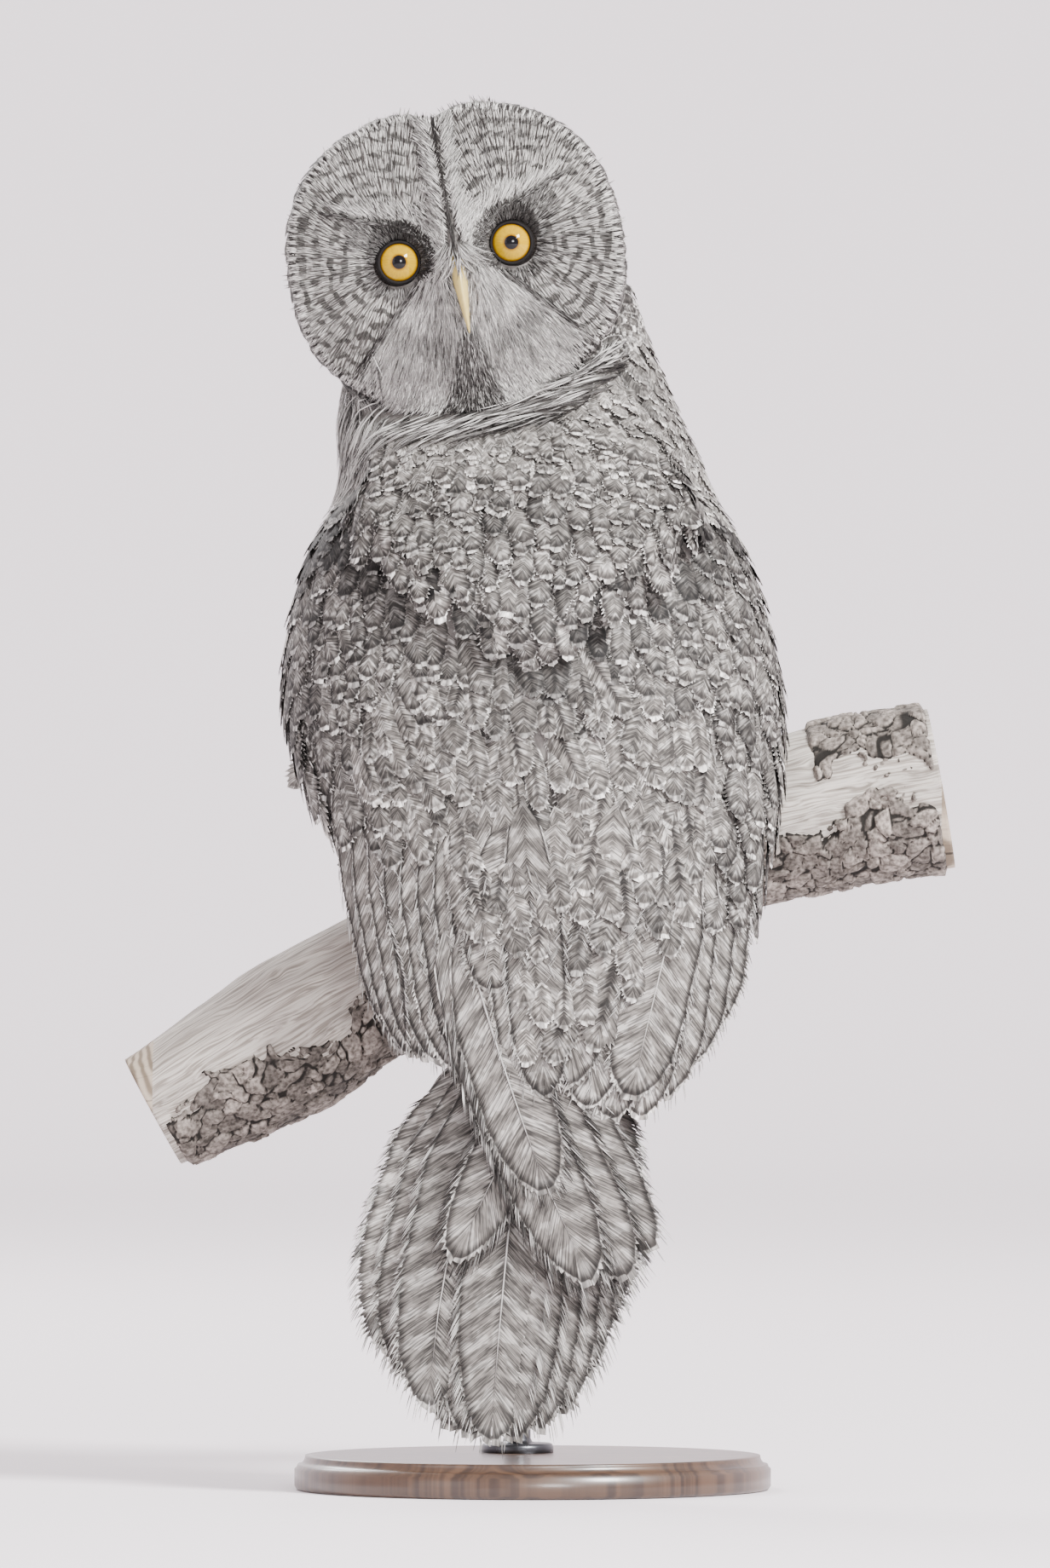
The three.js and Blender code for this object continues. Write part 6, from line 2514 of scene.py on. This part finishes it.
def iris_material() -> bpy.types.Material:
    """Returns the eye's finish: black pupil, yellow iris with fine rays and a dark rim, under a clear coat."""
    w = new_material("iris")
    x, z, _ = w.attribute("iris")
    r = w.math("SQRT", x * x + z * z)
    turn = w.math("ARCTAN2", z, x)
    ray = w.noise(w.join(w.math("SINE", turn) * 9.0, w.math("COSINE", turn) * 9.0, r * 0.35), 1.0, 4.0)
    yellow = w.mix(ray, (0.25, 0.135, 0.0, 1), (0.5, 0.32, 0.0, 1))
    yellow = w.mix(w.span(r, 5.2, 3.4), yellow, (0.16, 0.065, 0.0, 1))
    yellow = w.mix(w.span(r, 8.2, 9.8), yellow, (0.12, 0.05, 0.0, 1))
    colour = w.mix(w.span(r, 3.75, 3.5), yellow, (0.003, 0.003, 0.004, 1))
    colour = w.mix(w.span(r, 9.5, 10.0), colour, (0.01, 0.008, 0.007, 1))
    return w.finish(
        colour, Roughness=0.5, Coat_Weight=1.0, Coat_Roughness=0.01, Coat_IOR=1.33, Specular_IOR_Level=0.0
    )


def horn_material(name: str, low: Colour, high: Colour, roughness: float) -> bpy.types.Material:
    """Returns the finish of bill or claws: faint growth streaks under a soft gloss."""
    w = new_material(name)
    streak = w.noise(w.vector("MULTIPLY", w.place(), (900.0, 250.0, 250.0)), 1.0, 3.0)
    return w.finish(
        w.mix(streak, (*low, 1), (*high, 1)), streak, 0.25, 0.0004, Roughness=roughness,
        Specular_IOR_Level=0.3, Coat_Weight=0.15, Coat_Roughness=0.15,
    )


def wood_grain() -> bpy.types.NodeTree:
    """Makes the group that draws wood fibres from places along, round and out from a stick's middle."""
    w, given, end = new_group(
        "wood_grain",
        {
            "Along": 0.0, "Round": 0.0, "Fibre": 1.0, "Light": (0.6, 0.56, 0.5, 1),
            "Deep": (0.3, 0.26, 0.22, 1),
        },
        {"Color": "NodeSocketColor", "Height": "NodeSocketFloat"},
    )
    along = given["Along"]
    side, top = w.math("SINE", given["Round"]), w.math("COSINE", given["Round"])
    bend = w.noise(w.join(along * 0.02, side * 2.0, top * 2.0))
    side = (side + bend * 0.35) * given["Fibre"]
    top = (top + bend * 0.35) * given["Fibre"]
    fibre = w.noise(w.join(along * 0.03, side * 34.0, top * 34.0), 1.0, 4.0)
    broad = w.noise(w.join(along * 0.012, side * 5.0, top * 5.0), 1.0, 3.0)
    colour = w.mix(w.span(fibre, 0.35, 0.62), given["Deep"], given["Light"])
    colour = w.shaded(colour, w.span(broad, 0.3, 0.7, 0.8, 1.12))
    crack = w.span(fibre, 0.3, 0.24)
    colour = w.mix(crack * 0.7, colour, (0.05, 0.042, 0.035, 1))
    w.feed(end, {"Color": colour, "Height": fibre - crack})
    return w.tree


def branch_material(group: bpy.types.NodeTree) -> bpy.types.Material:
    """Returns the finish of the weathered bare wood."""
    w = new_material("bare_wood")
    along, around, gap = w.attribute("grain")
    made = w.group(group, {
        "Along": along, "Round": around, "Light": (0.47, 0.435, 0.39, 1), "Deep": (0.2, 0.175, 0.15, 1),
    })
    side, top = w.math("SINE", around), w.math("COSINE", around)
    wander = w.noise(w.join(side * 1.4, top))
    ring = w.zigzag(gap * 0.42 + wander * 1.5)
    split = w.noise(w.join(side * 9.0, top * 9.0), 1.0, 1.0)
    cut = w.mix(w.span(ring, 0.08, 0.4), (0.16, 0.125, 0.09, 1), (0.4, 0.335, 0.26, 1))
    cut = w.mix(w.span(split, 0.34, 0.28), cut, (0.05, 0.04, 0.03, 1))
    left, right = BRANCH.left, BRANCH.right
    ends = w.math("MAXIMUM", w.span(along, left + 0.9, left + 0.3), w.span(along, right - 0.9, right - 0.3))
    return w.finish(
        w.mix(ends, made["Color"], cut), made["Height"], 0.55, 0.0012, Roughness=0.78,
        Specular_IOR_Level=0.25,
    )


def base_material(group: bpy.types.NodeTree) -> bpy.types.Material:
    """Returns the finish of the stained base."""
    w = new_material("stand_wood")
    x, y, _ = w.split(w.place())
    made = w.group(group, {
        "Along": x * 1000.0, "Round": y * 8.0, "Light": (0.075, 0.04, 0.022, 1),
        "Deep": (0.03, 0.016, 0.01, 1),
    })
    return w.finish(
        made["Color"], made["Height"], 0.12, 0.0005, Roughness=0.38, Coat_Weight=0.4, Coat_Roughness=0.2
    )


def bark_material() -> bpy.types.Material:
    """Returns the finish of the flaking bark: plates of different browns with dark cracks."""
    w = new_material("bark_flakes")
    crack, draw, _ = w.attribute("plate")
    place = w.place()
    grit, patch = w.noise(place, 420.0, 4.0), w.noise(place, 90.0, 3.0)
    colour = w.mix(w.span(grit, 0.3, 0.7), (0.07, 0.06, 0.052, 1), (0.24, 0.21, 0.185, 1))
    colour = w.shaded(colour, w.span(patch, 0.35, 0.65, 0.7, 1.25))
    colour = w.shaded(colour, w.span(draw, -1.0, 1.0, 0.7, 1.3))
    colour = w.mix(w.span(crack, 0.6, 0.1), colour, (0.012, 0.0105, 0.009, 1))
    return w.finish(colour, grit, 0.6, Roughness=0.88, Specular_IOR_Level=0.2)


@dataclass
class Studio:
    """The pale floor that curves up into a wall, the lamps and the camera."""

    distance: float = 8.0
    height: float = 0.370
    x: float = -0.004
    frame_height: float = 0.8225
    floor_flat: float = 7.0
    wall: float = 22.0
    wall_height: float = 17.0
    colour: Colour = (0.82, 0.765, 0.79)
    glow: float = 1.35

    def floor(self) -> bpy.types.Object:
        """Makes the floor and wall as one surface of revolution."""
        flat, reach = self.floor_flat, self.wall - self.floor_flat
        profile = [(0.0, 0.0), (1.0, 0.0), (3.0, 0.0), (flat, 0.0)]
        for k in range(1, 25):
            turn = k / 24 * math.pi / 2
            profile.append((flat + reach * math.sin(turn), reach * (1 - math.cos(turn))))
        profile.append((self.wall, self.wall_height))
        bm = lathe(profile, 96, weld=1e-6)
        if bm.faces[0].normal.z < 0:
            bmesh.ops.reverse_faces(bm, faces=bm.faces[:])
        for face in bm.faces:
            face.smooth = True
        mesh = bpy.data.meshes.new("studio_floor")
        bm.to_mesh(mesh)
        bm.free()
        mesh.materials.append(self.floor_material())
        floor = bpy.data.objects.new("studio_floor", mesh)
        bpy.context.scene.collection.objects.link(floor)
        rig.stage(floor)
        return floor

    def floor_material(self) -> bpy.types.Material:
        """Returns the pale finish of floor and wall, which glows softly on the far side."""
        w = new_material("studio_floor")
        _, y, _ = w.split(w.place())
        return w.finish(
            self.colour, Roughness=0.9, Specular_IOR_Level=0.1, Emission_Strength=self.glow,
            Emission_Color=w.shaded(self.colour, w.span(y, -2.0, 10.0)),
        )

    def lamp(self, name: str, place: Sequence[float], size: float, power: float) -> None:
        """Adds a square soft lamp aimed at the bird's middle."""
        light = bpy.data.lights.new(name, "AREA")
        light.size = size
        light.energy = power
        lamp = bpy.data.objects.new(name, light)
        lamp.location = place
        aim = Vector((0, 0, 0.42)) - lamp.location
        lamp.rotation_euler = aim.to_track_quat("-Z", "Y").to_euler()
        bpy.context.scene.collection.objects.link(lamp)

    def build(self) -> None:
        """Makes the studio."""
        self.floor()
        self.lamp("key", (2.6, -3.0, 3.4), 1.1, 730)
        self.lamp("catch", (0.9, -5.0, 1.5), 1.0, 150)
        self.lamp("fill", (-3.4, -3.4, 1.6), 2.6, 45)
        self.lamp("rim", (-1.6, 3.0, 2.8), 1.6, 160)
        world = bpy.data.worlds.new("studio")
        world.use_nodes = True
        world.node_tree.nodes["Background"].inputs["Color"].default_value = (*self.colour, 1)
        world.node_tree.nodes["Background"].inputs["Strength"].default_value = 1.1
        bpy.context.scene.world = world
        camera = bpy.data.cameras.new("camera")
        camera.sensor_width = 36
        camera.lens = 36 * self.distance / self.frame_height
        camera.clip_end = 100
        eye = bpy.data.objects.new("camera", camera)
        eye.location = (self.x, -self.distance, self.height)
        eye.rotation_euler = (math.radians(90), 0, 0)
        bpy.context.scene.collection.objects.link(eye)
        bpy.context.scene.camera = eye


# Each coat's name and the seed of its random draws
COAT_SEEDS = {
    "scapulars": 22, "back_feathers": 11, "front_feathers": 12, "neck_feathers": 13, "leg_tufts": 14,
    "head_feathers": 16, "disc_feathers": 17, "face_bristles": 18, "wing_quills": 19, "wing_tips": 23,
    "tail_quills": 21, "loose_strands": 15, "quill_shafts": 20,
}
FEATHERS = (
    PlumageFinish("covert"),
    PlumageFinish(
        "belly", ground=(0.27, 0.255, 0.235), pale=(0.56, 0.545, 0.515), bars=0.3, streak=0.9, band=0.2,
        fringe=0.5,
    ),
    PlumageFinish(
        "soft", ground=(0.2, 0.188, 0.172), bars=0.35, streak=0.3, band=0.45, fringe=0.8, spacing=9.0,
    ),
    PlumageFinish(
        "scapular", ground=(0.14, 0.13, 0.118), spacing=11.0, bars=0.4, streak=0.9, band=0.5, fringe=0.85,
        sides=0.98,
    ),
    PlumageFinish(
        "secondary", ground=(0.14, 0.13, 0.118), pale=(0.46, 0.445, 0.42), spacing=14.0, bars=0.4,
        streak=0.5, band=0.9, fringe=0.95, scatter=4.0, wobble=0.5, reach=4.6, slant=0.7, rim=2.4,
        core=0.12, sides=1.0,
    ),
    PlumageFinish(
        "flight", ground=(0.15, 0.139, 0.127), pale=(0.44, 0.425, 0.4), spacing=17.0, bars=0.42,
        streak=0.75, band=0.85, fringe=0.9, scatter=3.0, wobble=0.4, reach=6.0, slant=0.6, rim=2.6,
        core=0.12, sides=1.0,
    ),
)
STRANDS = (
    StrandFinish("disc", pale=(0.52, 0.505, 0.475), dark=(0.02, 0.018, 0.016), rings=0.85),
    StrandFinish("strand"),
)


def dress_plumage(skin: Skin) -> None:
    """Sets every coat on the skin."""
    pattern = vane_pattern()
    finishes = {finish.name: finish.material(pattern) for finish in FEATHERS}
    finishes |= {finish.name: finish.material() for finish in STRANDS}
    tracts = {name: Tract(Coat(name, seed), skin) for name, seed in COAT_SEEDS.items()}
    body, head, flights = BodyPlumage(), HeadPlumage(), FlightFeathers(tracts["quill_shafts"])

    def grow(
        coat: str, finish: str, *sets: Callable[[Tract], None], slot: str = "plumage"
    ) -> list[bpy.types.Object]:
        for add in sets:
            add(tracts[coat])
        return tracts[coat].coat.pieces(finishes[finish], slot)

    grow("scapulars", "scapular", body.scapulars)
    grow("back_feathers", "covert", body.under, body.coverts, body.mantle)
    grow("front_feathers", "belly", body.front)
    grow("neck_feathers", "soft", body.nape)
    grow("leg_tufts", "belly", body.legs, slot="leg_feathers")
    grow("head_feathers", "covert", head.back)
    grow("disc_feathers", "disc", head.rings, slot="face")
    grow(
        "face_bristles", "strand", head.rays, head.ruff, head.brows, head.crescents, head.midline,
        head.beard, slot="face",
    )
    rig.replaces(grow("wing_quills", "secondary", flights.secondaries)[0], "wing_left", "wing_right")
    grow("wing_tips", "flight", flights.primaries)
    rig.replaces(grow("tail_quills", "flight", flights.tail)[0], "tail")
    grow("loose_strands", "strand", body.strands)
    grow("quill_shafts", "strand")


def dress_hard_parts() -> None:
    """Makes the eyes, bill, claws, branch and stand."""
    iris = iris_material()
    lid = new_material("lids").finish((0.007, 0.0062, 0.006), Roughness=0.7, Specular_IOR_Level=0.12)
    for side in Side:
        eye = Eye(side)
        eye.build_ball(iris)
        eye.build_lids(lid)
    dark_horn = horn_material("claws", (0.012, 0.01, 0.009), (0.04, 0.035, 0.03), 0.35)
    Bill().build(horn_material("bill", (0.36, 0.27, 0.08), (0.58, 0.46, 0.17), 0.38), dark_horn)
    claws(dark_horn)
    grain = wood_grain()
    branch = Branch()
    branch.build_wood(branch_material(grain))
    branch.build_bark(bark_material())
    steel = new_material("steel").finish((0.09, 0.092, 0.1), Metallic=1.0, Roughness=0.35)
    Stand().build(base_material(grain), steel)


def main() -> None:
    """Builds the studio and the model, and writes its size."""
    logging.basicConfig(level=logging.INFO, format="%(name)s: %(message)s")
    Studio().build()
    skin = Skin()
    skin.build(skin_material())
    dress_plumage(skin)
    dress_hard_parts()
    sizes = {
        "cad": [list(corner) for corner in CAD_BOX], "dressed": [list(corner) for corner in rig.bounds()],
    }
    with open(SIZE_FILE, "w", encoding="utf-8") as file:
        json.dump(sizes, file, indent=1)
    LOG.info("size: %s", sizes)


if __name__ == "__main__":
    main()
